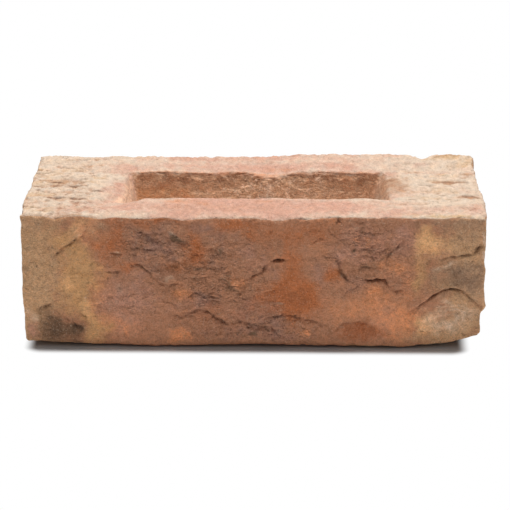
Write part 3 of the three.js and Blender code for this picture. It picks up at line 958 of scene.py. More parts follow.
@dataclass(frozen=True)
class Frog:
    """The recess in the upper bed, with drafted walls, rounded lips and a slumped back lip.

    Attributes:
        draft: the walls' lean from upright, in radians.
        side_lip: how softly the front and back lips are rounded; the ends have their own.
        foot_radius: how far the walls' foot is blended into the floor.
        back_shift: how far behind the bed's middle the frog lies.
        slump_overhang: how far the slumped clay hangs over the back lip.
        slump_sink: how far the bed behind it sank.
        undercut: how far the clay under the back lip is drawn in.
        ledge: how far the back wall's ledge stands proud.
        end_set_in: how far inside the mouth the end walls start.
        end_steepness: how much steeper than the long walls they are.
        flare_depth: how far the bed dips towards the frog's ends, from flare_reach away.
        flare_start: how near the ends that starts and is in full.
        flare_loss: how much of it is missing behind the middle and on the right.
        scoop: the middle of the scoop in the front left corner.
        middle_x: the middle of the back wall's crumbled, powdery stretch.
        rough_reach: how far from there the wall is rough down to its foot.
        near: how far along X and Y from the bed's middle the work goes.
    """

    length: float = 124.0
    width: float = 45.0
    depth: float = 15.0
    draft: float = math.radians(20.0)
    corner_radius: float = 3.0
    side_lip: float = 1.5
    left_lip: float = 2.4
    right_lip: float = 4.5
    foot_radius: float = 3.0
    back_shift: float = 2.0
    slump_x: float = 7.0
    slump_reach: float = 9.0
    slump_overhang: float = 4.0
    slump_sink: float = 2.0
    undercut: float = 0.4
    ledge_depth: float = 7.5
    ledge: float = 0.8
    end_set_in: float = 1.0
    end_steepness: float = 0.2
    flare_depth: float = 2.1
    flare_reach: float = 7.5
    flare_start: tuple[float, float] = (12.0, 3.0)
    flare_loss: float = 0.75
    scoop: tuple[float, float] = (-64.0, -24.0)
    scoop_depth: float = 1.7
    scoop_reach: float = 8.0
    middle_x: float = 8.0
    rough_reach: float = 26.0
    powder_reach: float = 24.0
    near: tuple[float, float] = (82.0, 42.0)
    seed: int = 501

    def inset(self, x: Array, y: Array) -> Array:
        """The distance inwards from the nominal lip, a rectangle with round corners.

        Args:
            x: distances along the bed.
            y: distances across the bed.

        Returns:
            The distance at each place, negative outside the lip.
        """
        radius = self.corner_radius
        beyond_x = np.abs(x) - self.length / 2.0 + radius
        beyond_y = np.abs(y - self.back_shift) - self.width / 2.0 + radius
        outside = np.hypot(np.maximum(beyond_x, 0.0), np.maximum(beyond_y, 0.0))
        return radius - outside - np.minimum(np.maximum(beyond_x, beyond_y), 0.0)

    def endness(self, x: Array, y: Array) -> Array:
        """How much the nearest wall is an end wall: a smooth step over the corners' diagonals.

        Args:
            x: distances along the bed.
            y: distances across the bed.

        Returns:
            1 at an end wall, 0 at a long one.
        """
        to_end = self.length / 2.0 - np.abs(x)
        to_side = self.width / 2.0 - np.abs(y - self.back_shift)
        return smoothstep(to_side - to_end, -3.0, 3.0)

    def hollow(self, x: Array, y: Array) -> Array:
        """0 on the bed, 1 inside the frog."""
        return smoothstep(self.inset(x, y), -1.0, 2.0)

    def sink(self, x: Array, y: Array) -> Array:
        """How deep the frog is.

        The inset from the lip, shifted by the slump and by the wall's roughness, runs down a
        rounded ramp as steep as the draft allows, and a smooth minimum joins it to the floor.
        The flare and the scoop are added to the ramp.

        Args:
            x: distances along the bed.
            y: distances across the bed.

        Returns:
            The depth at each place.
        """
        steep = 1.0 / math.tan(self.draft)
        inset = self.inset(x, y)
        endness = self.endness(x, y)
        back = smoothstep(y - self.back_shift, 0.0, 8.0) * (1.0 - endness)
        level = np.clip(inset * steep, 0.0, self.depth)
        wall = np.stack([x, level, 40.0 * endness + 20.0 * back], axis=1)
        slump = self.slump_overhang * bell(x - self.slump_x, self.slump_reach) * back
        rough = 0.4 * layered_noise(wall, 5.0, 4, self.seed)
        rough = rough + 0.35 * noise(wall / [11.0, 2.2, 9.0], self.seed + 10)
        calm = smoothstep(level, self.ledge_depth - 1.0, self.ledge_depth + 1.0)
        middle = bell(x - self.middle_x, self.rough_reach)
        rough *= (1.0 - 0.7 * calm * (1.0 - middle)) * (0.5 + 0.5 * back)
        shelf = self.ledge * back * (1.0 - middle) * (calm - 1.0)
        end_lip = np.where(x < 0.0, self.left_lip, self.right_lip)
        softness = self.side_lip + (end_lip - self.side_lip) * endness
        run = rounded_ramp(inset - self.end_set_in * endness - slump + shelf + rough, softness)
        fall = run * steep * (1.0 + self.end_steepness * endness)
        flare = smoothstep(np.abs(x), *(self.length / 2.0 - start for start in self.flare_start))
        elsewhere = np.maximum(smoothstep(y - self.back_shift, 2.0, 14.0), smoothstep(x, 0.0, 20.0))
        flare *= 1.0 - self.flare_loss * elsewhere
        fall += self.flare_depth * flare * smoothstep(inset, -self.flare_reach, 1.0)
        scoop = bell(x - self.scoop[0], self.scoop_reach) * bell(y - self.scoop[1], self.scoop_reach)
        floor = self.depth + 0.25 * layered_noise(wall, 9.0, 3, self.seed + 20)
        return self.join(fall + self.scoop_depth * scoop, floor)

    def join(self, wall: Array, floor: Array) -> Array:
        """The lesser of the two, with the corner between them filled over the foot's radius."""
        blend = np.clip(0.5 + 0.5 * (floor - wall) / self.foot_radius, 0.0, 1.0)
        return wall * blend + floor * (1.0 - blend) - self.foot_radius * blend * (1.0 - blend)

    def work(self, skin: Skin) -> None:
        """Sinks the frog into the upper bed, undercuts its back lip and colours its walls.

        The back wall has painted shade under its lip, is crumbled and powdery in the middle, and
        is darker low down on both sides of it. The left end wall is painted pale, partly painted
        light as though it were brightly lit, the right one is a tan slope, and the floor is pale
        with sand. A painted shadow line runs just under the back lip.

        Args:
            skin: the skin, which is changed.
        """
        face = Face.UPPER_BED
        share = skin.share(face)
        near = (np.abs(skin.box[:, :2]) < self.near).all(axis=1)
        at = np.nonzero((share > 0.5) & near)[0]
        x, y, _ = skin.box[at].T
        sink = self.sink(x, y)
        skin.place[at, 2] -= sink
        endness = self.endness(x, y)
        back = smoothstep(y - self.back_shift, 8.0, 16.0) * (1.0 - endness)
        sway = 0.85 + 0.35 * layered_noise(sheet(x, 0.0 * x, 4.0), 9.0, 3, self.seed + 30)
        below_lip = smoothstep(sink, 0.4, 1.2) * (1.0 - smoothstep(sink, 2.2, 4.6))
        skin.place[at, 1] += self.undercut * sway * back * below_lip
        left = smoothstep(-x, 50.0, 58.0) * endness
        right = smoothstep(x, 50.0, 58.0) * endness
        middle = bell(x - self.middle_x, self.powder_reach)
        ragged = 0.5 * layered_noise(sheet(x, y), 4.0, 2, self.seed + 34)
        inside = smoothstep(sink + ragged, 0.9, 1.9)
        patchy = mottle(x, 1.4 * y, 6.0, self.seed + 36, -0.5, 0.3)
        # The left end slope is painted pale, as though brightly lit: painted light.
        left_slope_painted_light = left * (1.0 - smoothstep(sink, 9.0, 14.0))
        inside *= (1.0 - 0.95 * left_slope_painted_light) * (1.0 - right * (1.0 - 0.4 * patchy))
        inside *= smoothstep(self.inset(x, y), -0.5, 1.0)
        low = smoothstep(sink, self.ledge_depth - 1.5, self.ledge_depth + 1.5) * (1.0 - endness)
        # Painted shade on the back wall just under its lip.
        under = smoothstep(sink, 0.8, 1.6) * (1.0 - smoothstep(sink, 3.4, 6.2)) * (1.0 - endness)
        slope = right * smoothstep(sink, 0.6, 1.6)
        floor = smoothstep(self.inset(x, y), 6.0, 8.5)
        grains = mottle(x / 1.4, sink + 0.5 * y, 1.8, self.seed + 42, -0.1, 0.4)
        streaks = mottle(x / 1.8, sink, 3.5, self.seed + 40, -0.4, 0.3)
        rusty = mottle(x / 1.8, sink, 4.0, self.seed + 44, -0.1, 0.4)
        powdery = mottle(x, 1.4 * y, 4.0, self.seed + 46, -0.4, 0.3)
        shady = mottle(x, 1.4 * y, 3.0, self.seed + 48, 0.0, 0.4)
        lip_band = smoothstep(self.inset(x, y), -1.2, 0.2) * (1.0 - smoothstep(sink, 0.8, 2.4))
        covers = [
            (Clay.WALL, inside),
            (Clay.GOLD, inside * low * 0.4 * smoothstep(-x, 5.0, 45.0)),
            (Clay.RUST, inside * low * 0.2 * smoothstep(-x, 15.0, 45.0)),
            (Clay.SHADE, inside * low * 0.3 * smoothstep(-x, 15.0, 35.0)),
            (Clay.SHADE, inside * low * 0.45 * smoothstep(x, 12.0, 32.0) * (0.5 * patchy + grains)),
            # Painted shade under the back lip.
            (Clay.SHADE, inside * under * (1.0 - 0.35 * middle) * (0.55 + 0.45 * streaks)),
            (Clay.RUST, inside * 0.15 * rusty),
            (Clay.CRUMBLED, inside * (0.2 + 0.5 * middle)),
            (Clay.POWDER_AND_PAINTED_LIGHT, inside * (0.15 + 0.85 * middle) * (1.0 - 0.3 * under) * grains),
            (Clay.CREAM, 0.9 * floor),
            (Clay.TAN, floor * (0.55 + 0.2 * patchy)),
            (Clay.STRAW, 0.3 * floor * grains),
            (Clay.TAN, 0.6 * slope),
            (Clay.POWDER_AND_PAINTED_LIGHT, 0.2 * slope * powdery),
            (Clay.SHADE, 0.35 * slope * shady),
            (Clay.BLUSH, 0.55 * lip_band * back),
            # Painted light: pale clay on the left end slope.
            (Clay.POWDER_AND_PAINTED_LIGHT, 0.9 * smoothstep(sink, 0.8, 3.0) * left_slope_painted_light),
            (Clay.PINK, 0.3 * smoothstep(sink, 0.5, 1.2) * left_slope_painted_light * patchy),
        ]
        for clay, cover in covers:
            skin.paint(face, at, clay, cover)
        # A painted shadow line just under the back lip.
        line = smoothstep(sink, 0.3, 0.9) * (1.0 - smoothstep(sink, 1.6, 3.2))
        skin.darken(at, 0.2 * sway * line * back * (1.0 - 0.5 * middle))


@dataclass(frozen=True)
class Flank:
    """One of the four upright faces: flashed by the kiln, and lapped with folds of clay.

    Attributes:
        face: which face it is.
        seed: picks its lumps and wrinkles.
        folds: its creases, as distances along X, or along Y on a header, and up Z.
        patches: its colours in the order in which they are laid.
        drift: how far the colours' edges drift.
        bend: how far the wrinkles wander from level.
    """

    face: Face
    seed: int
    folds: tuple[Fold, ...]
    patches: tuple[Patch, ...]
    drift: float = 4.2
    drift_pitch: float = 14.0
    bend: float = 1.8
    bend_pitch: float = 13.0
    lump_height: float = 0.4
    lump_pitch: float = 8.0
    wrinkle_pitch: float = 2.1
    flake_pitch: float = 4.4
    pit_pitch: float = 2.4

    def work(self, skin: Skin) -> None:
        """Lumps, the fine wrinkles and flakes of crumbled clay, folds, and the flashed colours.

        The colours' edges drift with the noise. Wrinkles are the crests of a noise stretched
        along the face, flakes lie where another is near 0, and pits where a third is high. All
        three are far stronger where the clay has crumbled, and their hollows get soot and painted
        shade. The folds' lips get pale chalk, which is partly a painted highlight.

        Args:
            skin: the skin, which is changed.
        """
        share = skin.share(self.face)
        at = np.nonzero(share > 0.0)[0]
        x, y, z = skin.box[at].T
        axis, _ = self.face.value
        x = x if axis else y
        flat = sheet(x, z, 1.0)
        drift_x, drift_z = (
            self.drift * layered_noise(flat, self.drift_pitch, 5, self.seed + i) for i in (0, 1)
        )
        for patch in self.patches:
            skin.paint(self.face, at, patch.clay, patch.cover(x + drift_x, z + 0.7 * drift_z))
        crumbled = skin.layers[Clay.CRUMBLED][at]
        bent = z + self.bend * noise(flat / self.bend_pitch, self.seed + 2)
        drawn = sheet(x / 1.5, z, 2.0)
        lumps = self.lump_height * layered_noise(drawn, self.lump_pitch, 3, self.seed + 4)
        streaks = layered_noise(sheet(x / 4.2, bent), self.wrinkle_pitch, 2, self.seed + 6)
        wrinkles = 0.6 - 2.0 * np.abs(streaks)
        edges = layered_noise(sheet(x / 1.5, bent, 3.0), self.flake_pitch, 2, self.seed + 8)
        flakes = bell(edges, 0.07) * mottle(x, z, 6.0, self.seed + 10, -0.05, 0.3)
        pits = mottle(x / 2.0, z, self.pit_pitch, self.seed + 12, 0.38, 0.62)
        height = lumps + crumbled * (0.16 * wrinkles - 0.5 * pits - 0.6 * flakes) - 0.08 * pits
        # Soot and painted shade in the pits, under the flakes and in the wrinkles' troughs.
        dark = crumbled * (0.22 * pits + 0.28 * flakes + 0.12 * smoothstep(-wrinkles, 0.0, 0.8))
        pale = np.zeros(len(at))
        for fold in self.folds:
            fold.press(x, z, height, dark, pale)
        # The pale clay on the folds' lips, in the chalk colour, partly a painted highlight.
        skin.paint(self.face, at, Clay.CHALK_AND_PAINTED_HIGHLIGHT, pale)
        skin.place[at] += (share[at] * height)[:, None] * skin.outward[at]
        skin.darken(at, share[at] * dark)


# The numbers of a fold are its route, width, depth, step, reach, dark, and any jog and pale; dark is
# its soot and painted shade, pale the pale clay on its lip, partly a painted highlight. Those of a
# patch are its middle, its reach along and up, its strength and any tilt.

FRONT_FOLDS = folded(
    (((15.2, 44.5), (11.8, 44.5), (9.7, 43.8), (7.3, 42.6), (4.3, 38.3), (1, 36), (-4.4, 33),
      (-7.4, 30.4)), 0.5, 1.3, 0.9, 5, 0.65),
    (((-6, 31.2), (-9.8, 30.1), (-13.1, 32), (-16.4, 35)), 0.4, 0.8, 0.3, 3, 0.55),
    (((9, 43.9), (11.6, 44.5), (14.4, 44.1)), 0.62, 2.8, 0.1, 2, 1),
    (((-13.6, 36.5), (-11.7, 38), (-9.6, 37)), 0.4, 0.6, 0.5, 2, 0.5),
    (((-37, 15.8), (-29.6, 17.8), (-25.8, 18.8), (-21.7, 17.6), (-18.8, 15.3), (-14.7, 12.6), (-10, 11.8),
      (-6.1, 12.3), (-2.8, 11.3), (0, 9.3), (5.3, 8.3)), 0.65, 1.4, 1.1, 5, 0.75),
    (((-5, 12.3), (1.5, 10.3), (7.1, 9.3), (10.4, 7.8), (13.6, 3.8)), 0.6, 1.2, 0.8, 4, 0.75),
    (((2.6, 12.4), (9.5, 15.3), (16.5, 16), (20.7, 14.3), (26.9, 13.5), (34, 11)), 0.55, 1, 0.8, 4, 0.65),
    (((-40, 17.3), (-34.3, 15.3), (-30.5, 16), (-26.5, 14.4)), 0.55, 1.1, 0.8, 3.5, 0.75),
    (((-42, 24.2), (-38.1, 22.5), (-34.8, 21)), 0.4, 0.7, 0.4, 2.5, 0.65),
    (((-31.4, 25.5), (-27.2, 26.5), (-23, 26)), 0.5, 0.8, 0.4, 2.5, 0.7),
    (((-26.4, 27), (-20.7, 27.4), (-16, 26.4)), 0.35, 0.6, 0.2, 2, 0.6),
    (((-25, 25), (-19.7, 25.3), (-15, 23.8)), 0.35, 0.7, 0.2, 2, 0.7),
    (((-23.5, 23.3), (-18.3, 23.5), (-14, 22)), 0.35, 0.6, 0.2, 2, 0.55),
    (((-10, 25.6), (-4, 24.2), (1, 25.4)), 0.35, 0.5, 0.2, 2, 0.45),
    (((-44.2, 32), (-39.9, 31), (-36.6, 32.5), (-32, 31.3)), 0.5, 0.9, 0.6, 3, 0.75),
    (((-59, 43), (-55.9, 41), (-53.6, 41.8), (-51, 40.3), (-48.9, 37.8), (-45.6, 34.3), (-41.8, 31.2)),
      0.5, 1, 0.7, 4, 0.7),
    (((-68.7, 37.8), (-65.3, 37), (-61.3, 38)), 0.5, 0.8, 0.3, 2.5, 0.75),
    (((-67.2, 47.6), (-64.4, 46), (-61, 46.4)), 0.6, 1, 0.5, 2.5, 0.65),
    (((-55.5, 58.7), (-51.7, 57), (-47.4, 56.6)), 0.45, 0.7, 0.4, 3, 0.6),
    (((-51.3, 53), (-46.5, 54), (-41.3, 53)), 0.4, 0.6, 0.3, 2.5, 0.5),
    (((-58.3, 49), (-53.1, 50), (-48.4, 49), (-43.6, 50)), 0.4, 0.6, 0.3, 2.5, 0.5),
    (((-49.4, 45), (-43.7, 45.8), (-37.1, 44)), 0.4, 0.6, 0.3, 2.5, 0.5),
    (((-36.9, 54.8), (-33.8, 53.3), (-30.2, 53.6)), 0.9, 0.9, 0.3, 2.5, 0.8),
    (((-19.4, 50), (-17.4, 47.5), (-15.8, 45)), 0.8, 0.5, 0.2, 2, 0.5),
    (((-28.6, 40.6), (-26.3, 39.5), (-23.8, 40.2)), 0.6, 0.6, 0.2, 2, 0.7),
    (((26.3, 51.6), (29.7, 54), (33.5, 54)), 0.4, 0.6, 0.3, 2.5, 0.5),
    (((31.5, 46.8), (34.9, 45), (38.2, 45.5)), 0.4, 0.6, 0.3, 2.5, 0.5),
    (((33.6, 60), (37.2, 55.8), (41, 53.8), (44.8, 53.2)), 0.45, 0.8, 0.4, 3, 0.6),
    (((38.9, 65.8), (39.4, 63.8), (39.9, 61.4)), 0.75, 1.4, 0, 2.5, 0.9),
    (((38.6, 46.6), (39.6, 41.8), (40.3, 38.3), (41.9, 35), (45, 32.8)), 0.6, 1.2, -0.8, 3, 0.6),
    (((51, 34.2), (54.1, 33.7), (57.4, 33.7), (60.5, 33.5), (61.9, 32), (62.8, 30.3), (65.3, 28.5),
      (67.8, 28.7), (72.4, 29.9)), 0.55, 1.5, 0.9, 5, 0.75),
    (((51.5, 34), (54.6, 33.6), (57.4, 33.9), (61.8, 33.2)), 0.7, 2.6, 0.3, 3, 1, 0.3),
    (((42, 26), (45.2, 28.8), (49.3, 30.8)), 0.45, 0.7, 0.3, 2.5, 0.6),
    (((69.8, 53.5), (66.4, 49.8), (63.6, 47.3), (62.1, 44.8), (61.8, 40.8)), 0.55, 1.1, 0.5, 3.5, 0.8),
    (((48.4, 39.2), (52.7, 40.3), (57, 39.6)), 0.6, 0.9, 0.3, 2.5, 0.65),
    (((42.3, 57), (48.5, 58.3), (53.2, 57), (59.4, 58.2)), 0.35, 0.6, 0.3, 2.5, 0.55),
    (((45.1, 54.5), (51.3, 55.5), (56.5, 54.5), (61.7, 55.5)), 0.35, 0.6, 0.3, 2.5, 0.55),
    (((43.3, 51.2), (49.4, 52.3), (55.1, 51), (60.8, 52)), 0.35, 0.6, 0.3, 2.5, 0.6),
    (((45.6, 48.2), (52.3, 49.3), (57, 48), (63, 49.2)), 0.35, 0.6, 0.3, 2.5, 0.55),
    (((47.5, 45), (53.2, 46), (59.4, 44.5)), 0.35, 0.6, 0.3, 2.5, 0.5),
    (((71.2, 16.6), (74.7, 19.3), (77.7, 21.3), (81, 23.5), (84.9, 26.4), (88.8, 28), (92.3, 28.3),
      (96.6, 26.8), (99.8, 23), (102.9, 18.5), (106.9, 14)), 0.5, 1.7, 1.2, 5, 0.75, 0.3),
    (((78.5, 21.8), (84.9, 26.4), (88.8, 28), (92.3, 28.3), (98.9, 25.4)), 0.5, 1.6, 0.3, 3, 0.95, 0.3),
    (((70.5, 16.4), (74.4, 18.3), (79.1, 19.8)), 0.35, 0.6, 0.2, 2, 0.55),
    (((77.5, 17.4), (83, 18), (90, 17.6), (96.4, 16.4), (100.4, 12), (101.4, 7)), 0.7, 0.3, 0.3, 2.2, 0.2,
      0.6, 0.4),
    (((80.4, 15), (86.1, 15.4), (91.4, 15.4), (96, 13.8), (98, 10), (97.6, 6.5)), 0.8, 0.3, 0.3, 2.2, 0.2,
      0.6, 0.45),
    (((84.1, 12.6), (88.9, 13.2), (92.8, 12.8), (95, 10.4), (94.6, 7.4), (91.7, 5.8)), 0.8, 0.3, 0.3, 2.2,
      0.2, 0.6, 0.4),
    (((70.5, 11), (75, 8.6), (80, 7), (86, 5.2)), 0.45, 0.6, 0.4, 2.5, 0.4),
    (((86.1, 43.4), (91.3, 44.5), (96, 44.8), (100.2, 45.3), (102.8, 46.5), (104.5, 48.8), (106.4, 51.6)),
      0.5, 1, -0.6, 4, 0.6, 0.3),
    (((102.2, 46.4), (104.2, 48.5), (105.8, 50.4)), 0.7, 0.9, 0.1, 2.5, 0.7, 0.3),
    (((79.4, 42.1), (81.4, 42.7), (83.4, 43.3)), 0.6, 0.5, 0.1, 2, 0.6),
    (((39.3, 7.4), (41.9, 11), (45.7, 12.1), (51.3, 12.3), (55.1, 11.3), (57.8, 7.5)), 0.5, 0.6, 0.5, 3.5,
      0.4),
    (((-93.6, 45.3), (-89.8, 47.3), (-87, 49.3), (-84.6, 50.8), (-81.8, 52.8), (-79, 55.3),
      (-75.4, 59.3)), 0.5, 0.9, 0.5, 4, 0.5),
    (((-85.8, 50.2), (-83, 51.8), (-80.2, 53.4)), 0.95, 0.9, 0.1, 2, 0.95),
    (((-92.2, 46), (-89.8, 47.1), (-87.6, 48.2)), 0.65, 0.8, 0.1, 2, 0.85),
    (((-101.4, 16.4), (-98.3, 18), (-96.4, 19.3), (-92.8, 19.6)), 0.65, 1, 0.4, 3, 0.8),
    (((-94, 19.3), (-90.7, 15.8), (-87.4, 12.8), (-84, 10.4)), 0.5, 0.5, 0.5, 3, 0.35),
    (((-85.8, 12), (-83, 9.5), (-80.2, 7.9)), 0.8, 0.9, 0.4, 2.5, 0.85),
    (((-81.6, 16.9), (-79.9, 14.8), (-78, 13)), 0.4, 0.6, 0.2, 2, 0.6),
    (((-73, 32), (-77.6, 26.8), (-82.4, 20.7)), 0.6, 0.5, 0.3, 3, 0.25),
    (((-106.6, 40.4), (-105.8, 38), (-106.4, 35)), 0.9, 0.5, 0, 2, 0.45),
)
FRONT_PATCHES = laid(
    (Clay.CRUMBLED, (-47, 51, 18, 12, 0.78), (-22, 42, 14, 14, 0.75), (-22, 26, 11, 6, 0.9),
     (-2, 28, 12, 10, 0.6), (-4, 9, 34, 8, 0.6), (-4, 50, 14, 9, 0.5), (54, 51, 19, 12, 0.75),
     (49, 32, 8, 7, 0.6), (20, 8, 13, 6, 0.5), (70, 33, 9, 7, 0.35), (-56, 24, 16, 9, 0.5)),
    (Clay.PURPLE, (-47, 52, 19, 11, 0.6, -8), (-42, 37, 12, 6, 0.4, -20), (-58, 30, 13, 9, 0.3),
     (-17, 44, 10, 9, 0.3), (54, 50, 19, 9, 0.35), (10, 38, 5, 7, 0.5, 35), (32, 37, 5, 9, 0.6),
     (-22, 24, 11, 5, 0.5, -10), (-4, 8, 30, 6, 0.4), (-14, 55, 9, 4, 0.5), (48, 30, 7, 5, 0.55),
     (68, 33, 8, 6, 0.35), (16, 7, 14, 5, 0.3)),
    (Clay.RUST, (-66, 54, 9, 13, 0.6), (-44, 63.5, 15, 2.8, 0.7), (-28, 50, 7, 10, 0.65),
     (-35, 38.5, 7, 4.5, 0.6), (-8, 60.5, 13, 5, 0.7), (1, 54, 6, 4, 0.45), (17, 56, 13, 9, 0.5),
     (33, 58, 9, 7, 0.4), (20, 27, 12, 9, 1), (8, 21, 9, 7, 0.6), (18, 42, 6, 8, 0.6),
     (38, 39, 2.4, 7, 0.8, 8), (-59, 41.5, 6, 2.4, 0.5)),
    (Clay.ROSE, (-60, 28, 13, 11, 0.65), (-60, 11, 15, 10, 0.55), (63, 16, 10, 9, 0.6),
     (2, 45, 10, 8, 0.5), (-30, 22, 12, 5, 0.45), (42, 46, 10, 8, 0.35)),
    (Clay.PEACH, (-58, 8, 13, 6, 0.35), (48, 18.5, 24, 8, 0.5), (67, 12, 9, 8, 0.5),
     (57.5, 28, 7, 5.6, 0.6), (31, 49.5, 4.4, 4.4, 0.5), (66, 41, 8, 6, 0.45), (-33, 27, 5, 4, 0.6),
     (-33.5, 17.6, 5, 1.8, 0.5), (-34.5, 5.6, 5, 4.6, 0.75), (-59, 6.5, 2, 2, 0.6),
     (23.6, 8, 3.6, 3.4, 0.6), (-9.5, 34, 5, 3.6, 0.4), (-10, 16.5, 8, 2.6, 0.25), (-73, 30, 6, 14, 0.45),
     (-72, 12, 6, 8, 0.45)),
    (Clay.BUFF, (-103, 36, 20, 48, 0.95), (99, 36, 15, 42, 0.9), (91, 6, 22, 6, 0.8)),
    (Clay.GOLD, (-85, 50, 7, 8, 0.6), (-79.5, 55, 6, 8, 0.6), (-79, 37, 8.5, 13, 0.85),
     (-82, 24, 8.5, 9, 0.8), (-75.5, 9, 6.5, 9, 0.9), (-91, 55, 8, 6, 0.3), (77.5, 36, 5, 11, 0.55)),
    (Clay.OCHRE, (-85, 31, 3.5, 4, 0.45), (79, 53, 4.5, 6, 0.4), (80, 46, 5, 6, 0.4),
     (88, 51, 11, 7, 0.4), (78, 55.5, 3.4, 3, 0.4)),
    (Clay.GREY, (97, 35.5, 15, 7.5, 0.85, -4), (102, 24, 6, 12, 0.5, 20), (91, 62, 20, 4.5, 0.6),
     (100, 54, 8, 6, 0.4), (89, 24, 7, 3, 0.55, 14), (-72, 58.8, 4.4, 2.6, 0.75), (-61, 31, 7, 5, 0.35),
     (-104, 60, 8, 5, 0.45)),
    (Clay.OCHRE, (81, 11, 8, 4, 0.65)),
    # The long chalk patch at 108.6, on the front's right arris, is a painted highlight.
    (Clay.CHALK_AND_PAINTED_HIGHLIGHT, (94, 11, 13, 7, 0.45), (87, 20.4, 5.5, 1.1, 0.5, -5), (93.6, 10.4, 1.5, 2.4, 0.6),
     (108.6, 44, 1.9, 22, 0.95), (86.5, 40.2, 4, 1.1, 0.55, 22)),
    (Clay.MAROON, (48.5, 7, 9, 5.6, 0.75), (60, 8, 6, 4, 0.5), (12, 8, 8, 4, 0.3)),
    (Clay.CRUMBLED, (-92, 9, 12, 8, 0.45)),
    (Clay.SOIL, (-98, 16, 5, 3.6, 0.4, -14), (-96, 12, 8, 5, 0.4, -14), (-94, 3.5, 15, 9, 0.66),
     (-88.5, 10, 8, 6, 0.5), (-88, 9, 8, 2.6, 0.4, -36)),
    (Clay.CHALK_AND_PAINTED_HIGHLIGHT, (-105.5, 13, 3, 5, 0.45)),
    (Clay.OCHRE, (-79.5, 62.5, 6, 3, 0.35)),
    (Clay.ROSE, (-23, 17, 12, 6, 0.2)),
    (Clay.MAROON, (-22, 18, 12, 5, 0.3)),
    (Clay.PURPLE, (0, 17, 14, 9, 0.35)),
    (Clay.MAROON, (0, 16, 12, 9, 0.2)),
    (Clay.RUST, (19, 17.5, 9, 6, 0.5)),
    (Clay.MAROON, (-23, 62.5, 9, 3, 0.3), (4, 63, 8, 3, 0.25), (18, 27, 11, 8, 0.3),
     (-27, 14, 20, 6, 0.2), (-34, 36, 14, 7, 0.25)),
    (Clay.PEACH, (-77, 57, 7, 6, 0.4)),
    (Clay.OCHRE, (-77, 18, 4, 7, 0.25)),
    (Clay.ROSE, (53, 52, 19, 8, 0.3)),
    (Clay.OCHRE, (81, 52, 6, 6, 0.3), (81, 15, 6, 5, 0.25)),
    (Clay.PEACH, (33, 62, 14, 3, 0.25)),
    (Clay.ROSE, (71, 56, 5, 7, 0.5)),
    (Clay.PEACH, (71, 22, 5, 20, 0.3)),
    (Clay.SOIL, (91, 25.5, 7, 3.4, 0.4), (96, 34, 13, 7, 0.35), (-34, 36, 20, 9, 0.36)),
    (Clay.RUST, (18, 27, 12, 9, 0.45)),
    (Clay.MAROON, (19, 25, 9, 7, 0.42)),
    (Clay.SOIL, (18, 27, 11, 8, 0.3), (-27, 14, 20, 5, 0.22), (96, 34, 9, 6, 0.28)),
    (Clay.OCHRE, (-77, 57, 9, 6, 0.35)),
    (Clay.CHALK_AND_PAINTED_HIGHLIGHT, (-77, 57, 10, 6, 0.28)),
    (Clay.OCHRE, (-77, 18, 9, 7, 0.33)),
    (Clay.ROSE, (53, 52, 12, 8, 0.65)),
    (Clay.PEACH, (53, 52, 11, 7, 0.36)),
    (Clay.CHALK_AND_PAINTED_HIGHLIGHT, (81, 14, 6, 4, 0.4)),
    (Clay.ROSE, (-105.5, 6, 3, 6, 0.5)),
    (Clay.SOIL, (-35, 54, 4, 1.8, 1), (-17.5, 48, 1.4, 2.8, 0.75), (-83.5, 52.3, 3.2, 1.2, 0.8, 35),
     (-25.9, 39.9, 3.2, 1, 0.6), (-12.2, 37.3, 3, 1.2, 0.6), (-14.2, 32.4, 3.2, 0.8, 0.75, -30),
     (-10.3, 29.6, 4, 1, 0.55), (10.7, 13.8, 3.2, 1, 0.6), (3.3, 9.1, 6, 0.8, 0.6),
     (0.6, 4.6, 1.6, 1.5, 0.8), (-4.4, 7.1, 2.2, 1, 0.6), (33.6, 46.2, 5, 0.6, 0.5, -12),
     (45.3, 48.9, 1.3, 1.2, 0.75), (60.8, 44.4, 3.2, 1.5, 0.6, 35), (56.1, 40, 4, 1.2, 0.6),
     (76, 61, 5, 2, 0.4)),
    (Clay.PURPLE, (-21.6, 61, 6, 2.5, 0.6), (11.4, 9.6, 2.6, 4, 0.7)),
    (Clay.CHALK_AND_PAINTED_HIGHLIGHT, (8.7, 20, 5, 0.9, 0.42, 20)),
    (Clay.SOIL, (37.2, 6.5, 1.4, 2.4, 0.5), (59.5, 5.4, 1.2, 1.8, 0.4), (51.5, 35.8, 2.4, 2.4, 0.3)),
    # The chalk mark at -64.4, 47.8 is a painted highlight on the lip of the fold below it.
    (Clay.CHALK_AND_PAINTED_HIGHLIGHT, (-38.2, 56.8, 2.6, 1.6, 0.5, 10), (-37.4, 31.6, 1.8, 1.4, 0.4),
     (-64.4, 47.8, 1.8, 0.8, 0.6), (48.1, 62, 0.8, 3.4, 0.6), (63.3, 47, 0.8, 0.8, 0.9),
     (-77.6, 24.6, 0.6, 0.6, 1)),
)
FRONT_STRETCHER = Flank(Face.FRONT_STRETCHER, 201, FRONT_FOLDS, FRONT_PATCHES)

